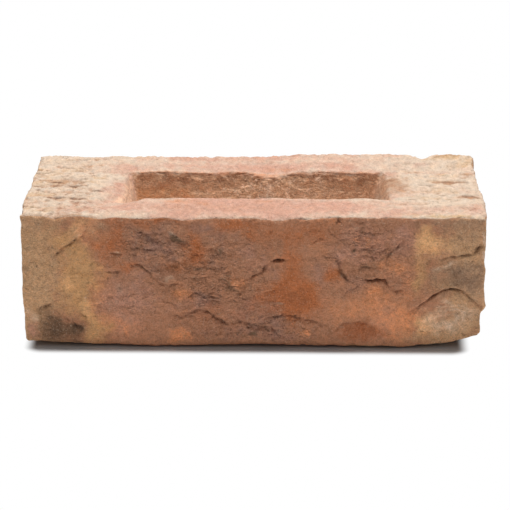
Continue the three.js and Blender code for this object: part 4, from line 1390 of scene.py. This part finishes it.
BACK_FOLDS = folded(
    (((-96, 20), (-84, 29), (-70, 31), (-60, 25)), 0.6, 1.4, 1, 5, 0.7),
    (((-42, 18), (-28, 14), (-12, 17), (2, 12), (16, 14.5)), 0.55, 1.2, 0.8, 4, 0.65),
    (((-24, 52), (-12, 48), (-2, 50), (10, 44)), 0.5, 0.9, 0.6, 4, 0.6),
    (((20, 37), (32, 33), (44, 37), (56, 33)), 0.6, 1.4, 0.9, 5, 0.7),
    (((33, 33.8), (39, 35.2), (46, 36.8)), 0.7, 2.2, 0.2, 3, 0.95),
    (((60, 13), (70, 18), (82, 15), (94, 21)), 0.5, 0.9, 0.7, 4, 0.55),
    (((-54, 47), (-46, 43), (-37, 45)), 0.5, 0.9, 0.5, 3, 0.6),
    (((-61, 13), (-57, 10.4), (-52, 9)), 0.45, 0.7, 0.3, 2.5, 0.6),
    (((11, 25), (18, 22), (26, 24)), 0.45, 0.7, 0.4, 3, 0.55),
    (((65, 47), (72, 52), (82, 54)), 0.5, 0.9, 0.5, 3.5, 0.6),
    (((-88, 53), (-80, 49), (-70, 50.5)), 0.5, 0.8, 0.4, 3, 0.55),
    (((-9, 31), (-4, 27), (3, 28)), 0.45, 0.8, 0.4, 2.5, 0.65),
    (((40, 10), (50, 8), (58, 10.5)), 0.5, 0.7, 0.5, 3, 0.5),
)
BACK_PATCHES = laid(
    (Clay.CRUMBLED, (-32, 42, 26, 15, 0.9), (34, 24, 26, 13, 0.8), (66, 50, 14, 9, 0.6),
     (-68, 18, 16, 11, 0.5)),
    (Clay.PURPLE, (-34, 44, 24, 12, 0.75, -8), (30, 21, 22, 10, 0.65, 8), (60, 52, 13, 7, 0.6),
     (-8, 12, 18, 6, 0.5)),
    (Clay.RUST, (4, 46, 15, 13, 0.8), (-58, 27, 11, 12, 0.7), (56, 33, 9, 8, 0.7), (-22, 22, 12, 5, 0.5),
     (26, 61, 22, 4, 0.5)),
    (Clay.ROSE, (-62, 50, 13, 9, 0.6), (8, 25, 11, 8, 0.6), (70, 18, 11, 9, 0.6)),
    (Clay.PEACH, (-2, 36, 6, 5, 0.7), (-46, 9, 16, 5, 0.6), (42, 57, 8, 3.4, 0.6), (16, 7, 15, 5, 0.6),
     (-50, 37, 3.4, 3, 0.8), (-73, 40, 6, 14, 0.45)),
    (Clay.MAROON, (-14, 55, 11, 5, 0.6), (48, 7, 14, 5, 0.7)),
    (Clay.BUFF, (-101, 34, 18, 46, 0.95), (101, 34, 17, 46, 0.95)),
    (Clay.GOLD, (-81, 42, 7, 16, 0.8), (-78, 16, 7, 13, 0.8), (81, 30, 7, 18, 0.8), (74, 57, 8, 5, 0.6)),
    (Clay.OCHRE, (-88, 13, 8, 6, 0.7), (89, 45, 7, 8, 0.7)),
    (Clay.GREY, (-98, 47, 12, 8, 0.7, 10), (97, 18, 13, 7, 0.65, -8), (99, 58, 11, 4.5, 0.5)),
    (Clay.SOIL, (93, 4.5, 9, 3.5, 0.5), (-40, 60, 3, 1.6, 0.7), (25, 41, 1.6, 2.4, 0.6)),
    (Clay.CHALK_AND_PAINTED_HIGHLIGHT, (-30, 57, 5, 1.4, 0.4), (62, 24, 0.8, 0.8, 0.9)),
)
BACK_STRETCHER = Flank(Face.BACK_STRETCHER, 601, BACK_FOLDS, BACK_PATCHES)

LEFT_FOLDS = folded(
    (((-42, 13), (-30, 20), (-18, 21.5), (-8, 16)), 0.6, 1.3, 0.9, 5, 0.65),
    (((-6, 45), (6, 49), (16, 46), (27, 48.5)), 0.5, 0.9, 0.5, 4, 0.55),
    (((18, 23), (30, 28), (40, 24)), 0.55, 1, 0.6, 4, 0.6),
    (((-32, 39), (-26, 36), (-19, 37)), 0.5, 0.8, 0.4, 3, 0.6),
    (((34, 10), (39, 12.5), (45, 12)), 0.5, 0.7, 0.3, 3, 0.5),
)
LEFT_PATCHES = laid(
    (Clay.CRUMBLED, (4, 30, 34, 18, 0.3)),
    (Clay.BUFF, (0, 32, 90, 60, 1)),
    (Clay.GOLD, (-37, 24, 10, 15, 0.5), (20, 8, 16, 6, 0.4)),
    (Clay.OCHRE, (-10, 40, 12, 8, 0.5), (33, 48, 10, 7, 0.5)),
    (Clay.ROSE, (30, 12, 10, 7, 0.3)),
    (Clay.GREY, (13, 24, 17, 7, 0.5, 12), (-26, 52, 13, 6, 0.5)),
    (Clay.SOIL, (-41, 7, 9, 6, 0.55), (7, 4, 8, 2.6, 0.4)),
    (Clay.CHALK_AND_PAINTED_HIGHLIGHT, (19, 39, 5, 1.4, 0.4, 12)),
)
LEFT_HEADER = Flank(Face.LEFT_HEADER, 631, LEFT_FOLDS, LEFT_PATCHES)

RIGHT_FOLDS = folded(
    (((-22, 21), (-8, 28), (6, 27), (18, 20)), 0.6, 1.3, 0.9, 5, 0.65),
    (((-48, 44), (-38, 46.5), (-28, 43.5)), 0.5, 0.9, -0.5, 4, 0.55),
    (((8, 44), (18, 42), (30, 46)), 0.5, 0.9, 0.5, 4, 0.55),
    (((-38, 15), (-28, 12), (-20, 14.5)), 0.5, 0.8, 0.4, 3, 0.55),
    (((29, 21), (35, 25), (42, 26)), 0.5, 0.8, 0.4, 3, 0.55),
)
RIGHT_PATCHES = laid(
    (Clay.CRUMBLED, (-6, 34, 34, 18, 0.3)),
    (Clay.BUFF, (0, 32, 90, 60, 1)),
    (Clay.GOLD, (34, 30, 11, 15, 0.5), (-14, 8, 15, 5, 0.4)),
    (Clay.OCHRE, (10, 15, 12, 7, 0.6), (-34, 54, 9, 6, 0.5)),
    (Clay.PEACH, (-6, 56, 11, 4, 0.4)),
    (Clay.ROSE, (38, 11, 9, 7, 0.35)),
    (Clay.GREY, (-18, 31, 17, 8, 0.55, -8), (22, 50, 14, 6, 0.5)),
    (Clay.SOIL, (44, 5, 8, 4, 0.5)),
    (Clay.CHALK_AND_PAINTED_HIGHLIGHT, (3, 38.5, 5, 1.4, 0.45, -10)),
)
RIGHT_HEADER = Flank(Face.RIGHT_HEADER, 661, RIGHT_FOLDS, RIGHT_PATCHES)


# Shader expressions

Colour = tuple[float, float, float, float]
SCREEN_OFFSET = 0.055
SCREEN_POWER = 2.4


def paint(red: int, green: int, blue: int, light: float = 1.0) -> Colour:
    """A colour for a shader, from what it looks like on a screen.

    Each channel's share, plus the screen's offset and over 1 plus that, is raised to the screen's
    power to be linear, and then divided by the light.

    Args:
        red: 0 to 255, as are the next two.
        green: likewise.
        blue: likewise.
        light: how brightly the studio lights the places that have it.

    Returns:
        The colour, opaque.
    """
    shares = [channel / 255.0 for channel in (red, green, blue)]
    whole = 1.0 + SCREEN_OFFSET
    linear = [((share + SCREEN_OFFSET) / whole) ** SCREEN_POWER / light for share in shares]
    return (linear[0], linear[1], linear[2], 1.0)


def placed(name: str, data: bpy.types.ID) -> bpy.types.Object:
    """An object of that name in the scene.

    Args:
        name: what it is called.
        data: its mesh, camera or light.

    Returns:
        The object.
    """
    made = bpy.data.objects.new(name, data)
    bpy.context.scene.collection.objects.link(made)
    return made


def empty_material(name: str) -> bpy.types.Material:
    """A material with no nodes in it.

    Args:
        name: what it is called.

    Returns:
        The material.
    """
    material = bpy.data.materials.new(name)
    material.use_nodes = True
    material.node_tree.nodes.clear()
    return material


class Graph:
    """The nodes of one material or of the world."""

    def __init__(self, tree: bpy.types.NodeTree) -> None:
        """Takes a tree that has no nodes yet."""
        self.tree = tree

    def node(
        self, kind: str, settings: dict | None = None, sockets: dict | None = None, out: str = ""
    ) -> Wire:
        """Adds a node.

        Args:
            kind: the node's type.
            settings: its properties, which are set first.
            sockets: values or wires by the input's name or identifier.
            out: the output's name or identifier, or nothing for the first one.

        Returns:
            The output, as a wire.
        """
        made = self.tree.nodes.new(kind)
        for key, value in (settings or {}).items():
            setattr(made, key, value)
        for key, value in (sockets or {}).items():
            socket = next(s for s in made.inputs if key in (s.identifier, s.name))
            if isinstance(value, Wire):
                self.tree.links.new(value.socket, socket)
            else:
                socket.default_value = value
        found = [socket for socket in made.outputs if out in (socket.identifier, socket.name, "")]
        return Wire(self, found[0] if found else None)

    def mix(
        self, below: Wire | Colour, above: Wire | Colour, share: Wire | float, how: str = "MIX"
    ) -> Wire:
        """Lays one colour over another.

        Args:
            below: the colour that is covered.
            above: the colour that is laid.
            share: how much it covers.
            how: the blend type.

        Returns:
            The colour that shows.
        """
        sockets = {"Factor_Float": share, "A_Color": below, "B_Color": above}
        settings = {"data_type": "RGBA", "blend_type": how}
        return self.node("ShaderNodeMix", settings, sockets, "Result_Color")

    def vector(self, operation: str, first: Wire, second: Wire | tuple = (0.0, 0.0, 0.0)) -> Wire:
        """Vector Math on a wire and another, or three numbers."""
        sockets = {"Vector": first, "Vector_001": second}
        return self.node("ShaderNodeVectorMath", {"operation": operation}, sockets)

    def attribute(self, name: str) -> Wire:
        """A number that the mesh holds at its vertices."""
        return self.node("ShaderNodeAttribute", {"attribute_name": name}, out="Fac")

    def noise(self, at: Wire, pitch: float, detail: float, rough: float = 0.5) -> Wire:
        """Noise between 0 and 1 of a pitch in millimetres."""
        sockets = {"Vector": at, "Scale": 1.0 / pitch, "Detail": detail, "Roughness": rough}
        return self.node("ShaderNodeTexNoise", {"noise_dimensions": "3D"}, sockets, "Fac")

    def between(self, value: Wire, low: float, high: float) -> Wire:
        """0 below low, 1 above high, with a smooth step between them."""
        sockets = {"Value": value, "From Min": low, "From Max": high}
        return self.node("ShaderNodeMapRange", {"interpolation_type": "SMOOTHSTEP"}, sockets)

    def seen(self) -> Wire:
        """Which rays the camera sees, straight or by way of metal or glass.

        Returns:
            1 for those rays and 0 for others.
        """
        straight = self.node("ShaderNodeLightPath", out="Is Camera Ray")
        mirrored = self.node("ShaderNodeLightPath", out="Is Glossy Ray")
        refracted = self.node("ShaderNodeLightPath", out="Is Transmission Ray")
        return self.between(straight + mirrored + refracted, 0.0, 1.0)

    def output(self, shader: Wire) -> None:
        """Makes a shader the material's surface."""
        self.node("ShaderNodeOutputMaterial", sockets={"Surface": shader})


class Wire:
    """A node's output, which takes part in sums and products."""

    def __init__(self, graph: Graph, socket: bpy.types.NodeSocket | None) -> None:
        """Wraps a socket of a graph."""
        self.graph = graph
        self.socket = socket

    def _math(self, operation: str, first: Wire | float, second: Wire | float) -> Wire:
        """A Math node on two values.

        Args:
            operation: the node's operation.
            first: its first value or wire.
            second: its second one.

        Returns:
            The result, as a wire.
        """
        made = self.graph.tree.nodes.new("ShaderNodeMath")
        made.operation = operation
        for socket, value in zip(made.inputs, (first, second)):
            if isinstance(value, Wire):
                self.graph.tree.links.new(value.socket, socket)
            else:
                socket.default_value = value
        return Wire(self.graph, made.outputs[0])

    def __add__(self, other: Wire | float) -> Wire:
        """self + other."""
        return self._math("ADD", self, other)

    def __radd__(self, other: float) -> Wire:
        """other + self."""
        return self._math("ADD", other, self)

    def __sub__(self, other: Wire | float) -> Wire:
        """self - other."""
        return self._math("SUBTRACT", self, other)

    def __rsub__(self, other: float) -> Wire:
        """other - self."""
        return self._math("SUBTRACT", other, self)

    def __mul__(self, other: Wire | float) -> Wire:
        """self × other."""
        return self._math("MULTIPLY", self, other)

    def __rmul__(self, other: float) -> Wire:
        """other × self."""
        return self._math("MULTIPLY", other, self)


# How brightly the studio lights the brick's upright faces, its level ones, the frog's walls and
# the pale clay in the frog. That last is more than the frog's left end slope gets, so the pale clay
# there is painted light.
UPRIGHT = 0.665
LEVEL = 1.34
IN_FROG = 0.73
ON_POWDER_AND_PAINTED_LIGHT = 0.95


@dataclass(frozen=True)
class FiredClay:
    """Sand-faced clay, flashed in the kiln: a matt ground with each clay's colour laid over it.

    Attributes:
        ground: the plain body between the patches.
        soot_and_shade: the colour laid in the creases, pores and cracks, for grime and for painted shade
        in these hollows.
        sand: the pale grains on top.
        warm: the tint of the warmer places, and cool that of the cooler ones.
        scale: Object coordinates times this are millimetres, drawn out along Y.
        layers: what flattens the layers in which the crumbled clay breaks.
        parted: what flattens the cracks.
        grain: the pitch of the finest sand, the first of four patterns.
        crack_width: half the width of a crack, as a share of the noise's range.
        bed: the heights between which the upper bed's calmer finish comes in.
        colours: each clay's colour, as lit where it lies.
    """

    ground: Colour = paint(157, 110, 83, UPRIGHT)
    soot_and_shade: Colour = paint(62, 44, 36)
    sand: Colour = paint(236, 208, 180)
    warm: Colour = (1.045, 1.0, 0.955, 1.0)
    cool: Colour = (0.955, 1.0, 1.045, 1.0)
    scale: tuple[float, float, float] = (1000.0, 600.0, 1000.0)
    layers: tuple[float, float, float] = (0.42, 0.42, 1.0)
    parted: tuple[float, float, float] = (0.2, 0.2, 1.0)
    grain: float = 0.55
    fine: float = 1.3
    medium: float = 2.4
    coarse: float = 5.0
    tint_pitch: float = 3.4
    pore_pitch: float = 1.5
    sand_pitch: float = 0.8
    crack_pitch: float = 1.5
    crack_width: float = 0.03
    bed: tuple[float, float] = (61.0, 64.5)
    roughness: float = 0.9
    shine: float = 0.25
    bump: float = 0.9
    colours: dict[Clay, Colour] = field(
        default_factory=lambda: {
            Clay.PURPLE: paint(146, 108, 91, UPRIGHT),
            Clay.RUST: paint(161, 95, 57, UPRIGHT),
            Clay.ROSE: paint(169, 123, 102, UPRIGHT),
            Clay.PEACH: paint(200, 131, 88, UPRIGHT),
            Clay.GOLD: paint(178, 134, 92, UPRIGHT),
            Clay.BUFF: paint(170, 132, 98, UPRIGHT),
            Clay.GREY: paint(144, 113, 90, UPRIGHT),
            Clay.OCHRE: paint(210, 160, 112, UPRIGHT),
            Clay.MAROON: paint(144, 84, 52, UPRIGHT),
            Clay.CREAM: paint(242, 216, 191, LEVEL),
            Clay.PINK: paint(228, 174, 150, LEVEL),
            Clay.WALL: paint(184, 143, 113, IN_FROG),
            Clay.TAN: paint(198, 147, 112, LEVEL),
            Clay.BLUSH: paint(233, 163, 122, LEVEL),
            Clay.STRAW: paint(230, 190, 146, LEVEL),
            Clay.ASH: paint(200, 176, 156, LEVEL),
            Clay.CHALK_AND_PAINTED_HIGHLIGHT: paint(202, 172, 146, UPRIGHT),
            Clay.SHADE: paint(134, 92, 66, IN_FROG),
            Clay.POWDER_AND_PAINTED_LIGHT: paint(232, 190, 160, ON_POWDER_AND_PAINTED_LIGHT),
            Clay.SOIL: paint(102, 77, 58, UPRIGHT),
        }
    )

    def material(self) -> bpy.types.Material:
        """Builds the nodes.

        Each clay's cover is broken up by noise before its colour is laid over what is below.
        Over all of it go warm and cool tints, and a grey of the grain and of the crumbled clay's
        layers. Then come pores and cracks, where a flattened noise passes through 0, darkened with
        soot and painted shade, pale grains of sand, and the soot and painted shade in the creases.
        The bump is of the same patterns, and the upper bed is a little calmer.

        Returns:
            The material.
        """
        material = empty_material("fired_clay")
        graph = Graph(material.node_tree)
        place = graph.node("ShaderNodeTexCoord", out="Object")
        at = graph.vector("MULTIPLY", place, self.scale)
        crumbled = graph.attribute(Clay.CRUMBLED.value)
        coarse = graph.noise(at, self.coarse, 4.0, 0.6) - 0.5
        sway = graph.node("ShaderNodeCombineXYZ", sockets={"Z": 6.0 * coarse})
        wavy = graph.vector("ADD", at, sway)
        strata = graph.noise(graph.vector("MULTIPLY", wavy, self.layers), 1.0, 3.0, 0.65) - 0.5
        medium = graph.noise(at, self.medium, 4.0, 0.65) - 0.5
        fine = graph.noise(at, self.fine, 3.0, 0.6) - 0.5
        grain = graph.noise(at, self.grain, 2.0, 0.6) - 0.5
        ragged = (0.5 + 0.8 * crumbled) * (1.7 * coarse + 0.3 * fine)
        colour: Wire | Colour = self.ground
        for clay, tint in self.colours.items():
            cover = graph.attribute(clay.value)
            share = graph.between(cover + ragged * 4.0 * cover * (1.0 - cover), 0.08, 0.92)
            colour = graph.mix(colour, tint, share)
        tint = graph.mix(self.warm, self.cool, 2.0 * graph.noise(at, self.tint_pitch, 3.0) - 0.5)
        colour = graph.mix(colour, tint, 1.0, "MULTIPLY")
        up = graph.node("ShaderNodeSeparateXYZ", sockets={"Vector": at}, out="Z")
        level = graph.between(up, *self.bed)
        calm = 1.0 - 0.15 * level
        gritty = graph.attribute(Clay.BUFF.value)
        grit = 1.1 * medium + (0.75 + 0.4 * crumbled + 0.5 * gritty) * grain
        grit = 1.0 + (grit + (0.35 + 0.8 * crumbled) * strata) * calm
        colour = graph.mix(colour, self.grey(graph, grit), 1.0, "MULTIPLY")
        # Pores, cracks and creases get the soot colour: grime, and painted shade in these hollows.
        pores = graph.between(graph.noise(at, self.pore_pitch, 4.0, 0.7) + 0.3 * coarse, 0.6, 0.72)
        colour = graph.mix(colour, self.soot_and_shade, pores * (0.2 + 0.14 * gritty) * calm)
        flat = graph.vector("MULTIPLY", wavy, self.parted)
        parting = graph.noise(flat, self.crack_pitch, 3.0, 0.6) - 0.5 + 0.1 * fine
        broken = graph.between(medium, -0.04, 0.1)
        apart = 1.0 - graph.between(parting * parting, 0.0, self.crack_width**2)
        cracks = apart * broken * (0.12 + crumbled)
        colour = graph.mix(colour, self.soot_and_shade, cracks * 0.7 * calm)
        grains = graph.between(graph.noise(at, self.sand_pitch, 2.0, 0.7), 0.56, 0.7)
        sanded = 0.2 + 0.12 * level + 0.12 * crumbled + 0.14 * gritty
        colour = graph.mix(colour, self.sand, grains * sanded)
        colour = graph.mix(colour, self.soot_and_shade, graph.attribute("dark") * (0.8 + 1.5 * fine))
        height = 0.45 * grain + 0.7 * fine + 0.7 * medium + (0.35 + 0.8 * crumbled) * strata
        height = (height - 0.25 * pores - 0.5 * cracks) * calm
        sockets = {"Height": height, "Strength": self.bump, "Distance": METRES}
        bump = graph.node("ShaderNodeBump", sockets=sockets)
        surface = {
            "Base Color": colour,
            "Roughness": self.roughness + 0.2 * fine,
            "Specular IOR Level": self.shine,
            "Normal": bump,
        }
        graph.output(graph.node("ShaderNodeBsdfPrincipled", sockets=surface))
        return material

    @staticmethod
    def grey(graph: Graph, value: Wire) -> Wire:
        """A number as a grey, for a product with a colour."""
        sockets = {"Red": value, "Green": value, "Blue": value}
        return graph.node("ShaderNodeCombineColor", {"mode": "RGB"}, sockets)


# The brick


@dataclass
class MouldedBrick:
    """The whole brick: one closed skin.

    Attributes:
        pitch: the plain distance between the lattice's lines.
        arris_band: half the width, and the fineness, of the finer lines at the arrises; the
            other bands are at the frog's walls.
        triangles: how many triangles the finished skin may have.
        uv_gap: the distance between the UV islands, in quads.
    """

    mould: Mould = Mould()
    frog: Frog = Frog()
    upper_bed: UpperBed = UpperBed()
    lower_bed: LowerBed = LowerBed()
    flanks: tuple[Flank, ...] = (FRONT_STRETCHER, BACK_STRETCHER, LEFT_HEADER, RIGHT_HEADER)
    finish: FiredClay = FiredClay()
    pitch: float = 0.45
    quick_coarseness: float = 1.6
    arris_band: tuple[float, float] = (2.0, 1.6)
    end_band: tuple[float, float] = (6.0, 1.5)
    front_band: tuple[float, float] = (4.5, 1.6)
    back_band: tuple[float, float] = (5.0, 2.4)
    triangles: int = 196000
    uv_gap: float = 6.0
    name: str = "moulded_brick"

    def lines(self) -> tuple[Array, Array, Array]:
        """The lattice's lines: finer at the arrises, and across the frog's steep walls.

        Returns:
            The lines' places along X, Y and Z, from the box's middle.
        """
        mould, frog = self.mould, self.frog
        wall_middle = math.tan(frog.draft) * frog.depth / 2.0
        bands = [[(way * half, *self.arris_band) for way in (-1.0, 1.0)] for half in mould.half()]
        ends = frog.length / 2.0 - wall_middle
        sides = frog.width / 2.0 - wall_middle
        bands[0] += [(-ends, *self.end_band), (ends, *self.end_band)]
        bands[1] += [(frog.back_shift - sides, *self.front_band)]
        bands[1] += [(frog.back_shift + sides, *self.back_band)]
        sizes = (mould.length, mould.width, mould.height)
        return tuple(stations(size, self.pitch, band) for size, band in zip(sizes, bands))

    def skin(self, lines: tuple[Array, Array, Array], lattice: Array) -> Skin:
        """The rounded box, moved by the strays of its faces.

        Opposite faces move by their own strays, and what lies between them in proportion.

        Args:
            lines: the places of the lattice's lines.
            lattice: the whole-number place of each vertex.

        Returns:
            The skin, with no clay laid on it yet.
        """
        mould = self.mould
        half = mould.half()
        box = np.stack([lines[axis][lattice[:, axis]] for axis in range(3)], axis=1)
        place, outward = mould.round_arrises(box)
        x, y = place[:, 0].copy(), place[:, 1].copy()
        z = place[:, 2] + half[2]
        front, back = mould.front(x, z), mould.stretcher(x, z, mould.back_phase)
        left, right = mould.header(mould.left, y, z), mould.header(mould.right, y, z)
        shares = (x / half[0] + 1.0) / 2.0, (y / half[1] + 1.0) / 2.0, z / mould.height
        place[:, 0] += right * shares[0] - left * (1.0 - shares[0])
        place[:, 1] += back * shares[1] - front * (1.0 - shares[1])
        rise = self.upper_bed.rise(mould, self.frog, x, y)
        lift = self.lower_bed.lift(mould, x, y)
        place[:, 2] = z + rise * shares[2] + lift * (1.0 - shares[2])
        box[:, 2] += half[2]
        layers = {clay: np.zeros(len(box)) for clay in Clay}
        return Skin(box, place, outward, np.zeros(len(box)), layers)

    def build(self) -> bpy.types.Object:
        """Makes the brick's object, thinned to its count of triangles, with its UV map.

        Returns:
            The object, with its material.
        """
        lines = self.lines()
        counts = tuple(len(line) - 1 for line in lines)
        lattice, quads = box_skin(counts)
        skin = self.skin(lines, lattice)
        self.lower_bed.work(skin, self.mould)
        for flank in self.flanks:
            flank.work(skin)
        self.upper_bed.work(skin, self.mould, self.frog)
        self.frog.work(skin)
        skin.settle()
        skin.place[:, 2] -= skin.place[:, 2].min()
        mesh = bpy.data.meshes.new(self.name)
        mesh.vertices.add(len(skin.place))
        mesh.vertices.foreach_set("co", (skin.place * METRES).ravel())
        mesh.loops.add(quads.size)
        mesh.loops.foreach_set("vertex_index", quads.ravel())
        mesh.polygons.add(len(quads))
        mesh.polygons.foreach_set("loop_start", np.arange(0, quads.size, 4))
        numbers = {clay.value: layer for clay, layer in skin.layers.items()} | {"dark": skin.dark}
        for key, values in numbers.items():
            mesh.attributes.new(key, "FLOAT", "POINT").data.foreach_set("value", values)
        shares = lattice / np.array(counts)
        mesh.attributes.new("lattice", "FLOAT_VECTOR", "POINT").data.foreach_set("vector", shares.ravel())
        mesh.update(calc_edges=True)
        brick = placed(self.name, mesh)
        self.thin(brick, 2 * len(quads))
        self.unwrap(brick.data, counts)
        brick.data.polygons.foreach_set("use_smooth", np.ones(len(brick.data.polygons), bool))
        brick.data.materials.append(self.finish.material())
        return brick

    def thin(self, brick: bpy.types.Object, made: int) -> None:
        """Collapses the edges that matter least, until the skin has its count of triangles.

        Args:
            brick: the object, whose mesh is replaced.
            made: how many triangles it has.
        """
        modifier = brick.modifiers.new("thin", "DECIMATE")
        modifier.ratio = min(1.0, self.triangles / made)
        modifier.use_collapse_triangulate = True
        dense = brick.data
        graph = bpy.context.evaluated_depsgraph_get()
        brick.data = bpy.data.meshes.new_from_object(brick.evaluated_get(graph), depsgraph=graph)
        brick.modifiers.clear()
        bpy.data.meshes.remove(dense)
        brick.data.name = self.name

    def unwrap(self, mesh: bpy.types.Mesh, counts: tuple[int, int, int]) -> None:
        """Lays the six faces side by side in the UV square.

        A triangle belongs to the face that its middle is nearest to, and its corners' lattice
        places across that face are its UV. The beds and the stretchers are stacked in one column,
        with the lower bed at half size, and the headers stand in another.

        Args:
            mesh: the thinned skin, which holds each vertex's lattice place.
            counts: the lattice's quads along X, Y and Z.
        """
        shares = np.empty(len(mesh.vertices) * 3)
        mesh.attributes["lattice"].data.foreach_get("vector", shares)
        corners = np.empty(len(mesh.loops), int)
        mesh.loops.foreach_get("vertex_index", corners)
        corner = shares.reshape(-1, 3)[corners]
        middle = corner.reshape(-1, 3, 3).mean(axis=1) - 0.5
        nearest = np.abs(middle).argmax(axis=1)
        beyond = np.take_along_axis(middle, nearest[:, None], axis=1)[:, 0] > 0.0
        axis, beyond = np.repeat(nearest, 3), np.repeat(beyond, 3)
        wide, deep, high = counts
        gap = self.uv_gap
        column = wide + 2.0 * gap
        floors = np.cumsum([gap, deep + gap, high + gap, high + gap])
        whole = floors[3] + 0.5 * deep + gap
        islands = {
            (2, True): (0, 1, gap, floors[0], wide, deep),
            (1, False): (0, 2, gap, floors[1], wide, high),
            (1, True): (0, 2, gap, floors[2], wide, high),
            (2, False): (0, 1, gap, floors[3], 0.5 * wide, 0.5 * deep),
            (0, False): (2, 1, column, gap, high, deep),
            (0, True): (2, 1, column, deep + 2.0 * gap, high, deep),
        }
        uv = np.zeros((len(corner), 2))
        for (which, far), (u_axis, v_axis, left, bottom, width, height) in islands.items():
            chosen = (axis == which) & (beyond == far)
            uv[chosen, 0] = (left + width * corner[chosen, u_axis]) / whole
            uv[chosen, 1] = (bottom + height * corner[chosen, v_axis]) / whole
        layer = mesh.uv_layers.new(name="OFBake")
        layer.data.foreach_set("uv", uv.ravel())


# The studio


@dataclass(frozen=True)
class Studio:
    """A white floor, a soft light overhead, and a long lens from the front.

    Attributes:
        elevation: how far the camera looks down, in degrees.
        azimuth: how far it stands to the right of the brick's front, in degrees.
        distance: from the lens to the place that it looks at, in millimetres.
        aim_height: how high that place is over the floor.
        shift: how far the picture is moved, as a share of its width.
        view_limit: how far the camera sees, in metres, as is all that follows.
        sky: how brightly the sky lights the brick; what is seen of it is white.
        floor_colour: what the floor throws back; painted_shade_colour is the darker grey that the camera
        sees of it near the brick, painted shade that deepens the brick's shadow.
        shadow_shift: how far to the left of the brick the shadow's middle is.
        shadow_half: half the size of the floor that is shown with its shadow.
        shadow_fade: how far beyond that the floor starts to turn white, and is white.
    """

    elevation: float = 17.49
    azimuth: float = 1.09
    distance: float = 1426.3
    aim_height: float = 32.5
    focal_length: float = 207.2
    sensor: float = 36.0
    shift: float = -0.01
    view_limit: float = 20.0
    lamp_place: tuple[float, float, float] = (0.03, 0.09, 1.5)
    lamp_size: float = 0.18
    lamp_power: float = 22.0
    sky: float = 0.3
    floor_size: float = 3.0
    floor_colour: Colour = (0.9, 0.9, 0.9, 1.0)
    painted_shade_colour: Colour = (0.5, 0.5, 0.5, 1.0)
    shadow_shift: float = 0.003
    shadow_half: tuple[float, float] = (0.0955, 0.0512)
    shadow_fade: tuple[float, float] = (0.004, 0.0105)

    def camera(self) -> None:
        """The camera looks at a place in the brick's middle from its place on a sphere round it."""
        data = bpy.data.cameras.new("camera")
        data.lens = self.focal_length
        data.sensor_width = self.sensor
        data.shift_y = self.shift
        data.clip_end = self.view_limit
        camera = placed("camera", data)
        turn, rise = math.radians(self.azimuth), math.radians(self.elevation)
        level = math.cos(rise)
        away = Vector((math.sin(turn) * level, -math.cos(turn) * level, math.sin(rise)))
        aim = Vector((0.0, 0.0, self.aim_height))
        camera.location = (aim + away * self.distance) * METRES
        camera.rotation_euler = (-away).to_track_quat("-Z", "Y").to_euler()
        bpy.context.scene.camera = camera

    def lights(self) -> None:
        """One large lamp above, a little to the right, and an even white sky."""
        data = bpy.data.lights.new("softbox", "AREA")
        data.shape = "SQUARE"
        data.size = self.lamp_size
        data.energy = self.lamp_power
        lamp = placed("softbox", data)
        lamp.location = self.lamp_place
        lamp.rotation_euler = Vector(self.lamp_place).to_track_quat("Z", "Y").to_euler()
        world = bpy.data.worlds.new("sky")
        world.use_nodes = True
        world.node_tree.nodes.clear()
        graph = Graph(world.node_tree)
        strength = self.sky + (1.0 - self.sky) * graph.seen()
        sockets = {"Color": (1.0, 1.0, 1.0, 1.0), "Strength": strength}
        sky = graph.node("ShaderNodeBackground", sockets=sockets)
        graph.node("ShaderNodeOutputWorld", sockets={"Surface": sky})
        bpy.context.scene.world = world

    def floor(self) -> bpy.types.Object:
        """A white floor that turns to plain white, for the camera, away from the brick.

        How far a place lies outside the shadow's rectangle sets how white it is. Nearer, the
        camera sees the floor in a darker grey: painted shade round the brick's foot.

        Returns:
            The floor's object.
        """
        half = self.floor_size / 2.0
        mesh = bpy.data.meshes.new("floor")
        corners = [(-half, -half, 0.0), (half, -half, 0.0), (half, half, 0.0), (-half, half, 0.0)]
        mesh.from_pydata(corners, [], [(0, 1, 2, 3)])
        floor = placed("floor", mesh)
        paper = empty_material("white_floor")
        graph = Graph(paper.node_tree)
        place = graph.node("ShaderNodeTexCoord", out="Object")
        apart = graph.vector("ADD", place, (self.shadow_shift, 0.0, 0.0))
        apart = graph.vector("SUBTRACT", graph.vector("ABSOLUTE", apart), (*self.shadow_half, 0.0))
        apart = graph.vector("MAXIMUM", apart, (0.0, 0.0, 0.0))
        reach = graph.node("ShaderNodeVectorMath", {"operation": "LENGTH"}, {"Vector": apart}, "Value")
        seen = graph.seen()
        far = graph.between(reach, *self.shadow_fade) * seen
        # Painted shade: the camera sees the floor near the brick in a darker grey than it throws back.
        tint = graph.mix(self.floor_colour, self.painted_shade_colour, seen)
        matt = graph.node("ShaderNodeBsdfDiffuse", sockets={"Color": tint})
        white = graph.node("ShaderNodeEmission", sockets={"Strength": 1.0})
        sockets = {"Fac": far, "Shader": matt, "Shader_001": white}
        graph.output(graph.node("ShaderNodeMixShader", sockets=sockets))
        mesh.materials.append(paper)
        return floor


def main() -> None:
    logging.basicConfig(level=logging.INFO, format="%(name)s: %(message)s")
    brick = MouldedBrick().build()
    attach(brick, "root")
    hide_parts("brick")
    LOG.info("%s: %d triangles", brick.name, len(brick.data.polygons))
    studio = Studio()
    bpy.context.scene.view_settings.view_transform = "Standard"
    studio.camera()
    studio.lights()
    floor = studio.floor()
    LOG.info("%s: %.1f m across", floor.name, studio.floor_size)


if __name__ == "__main__":
    main()
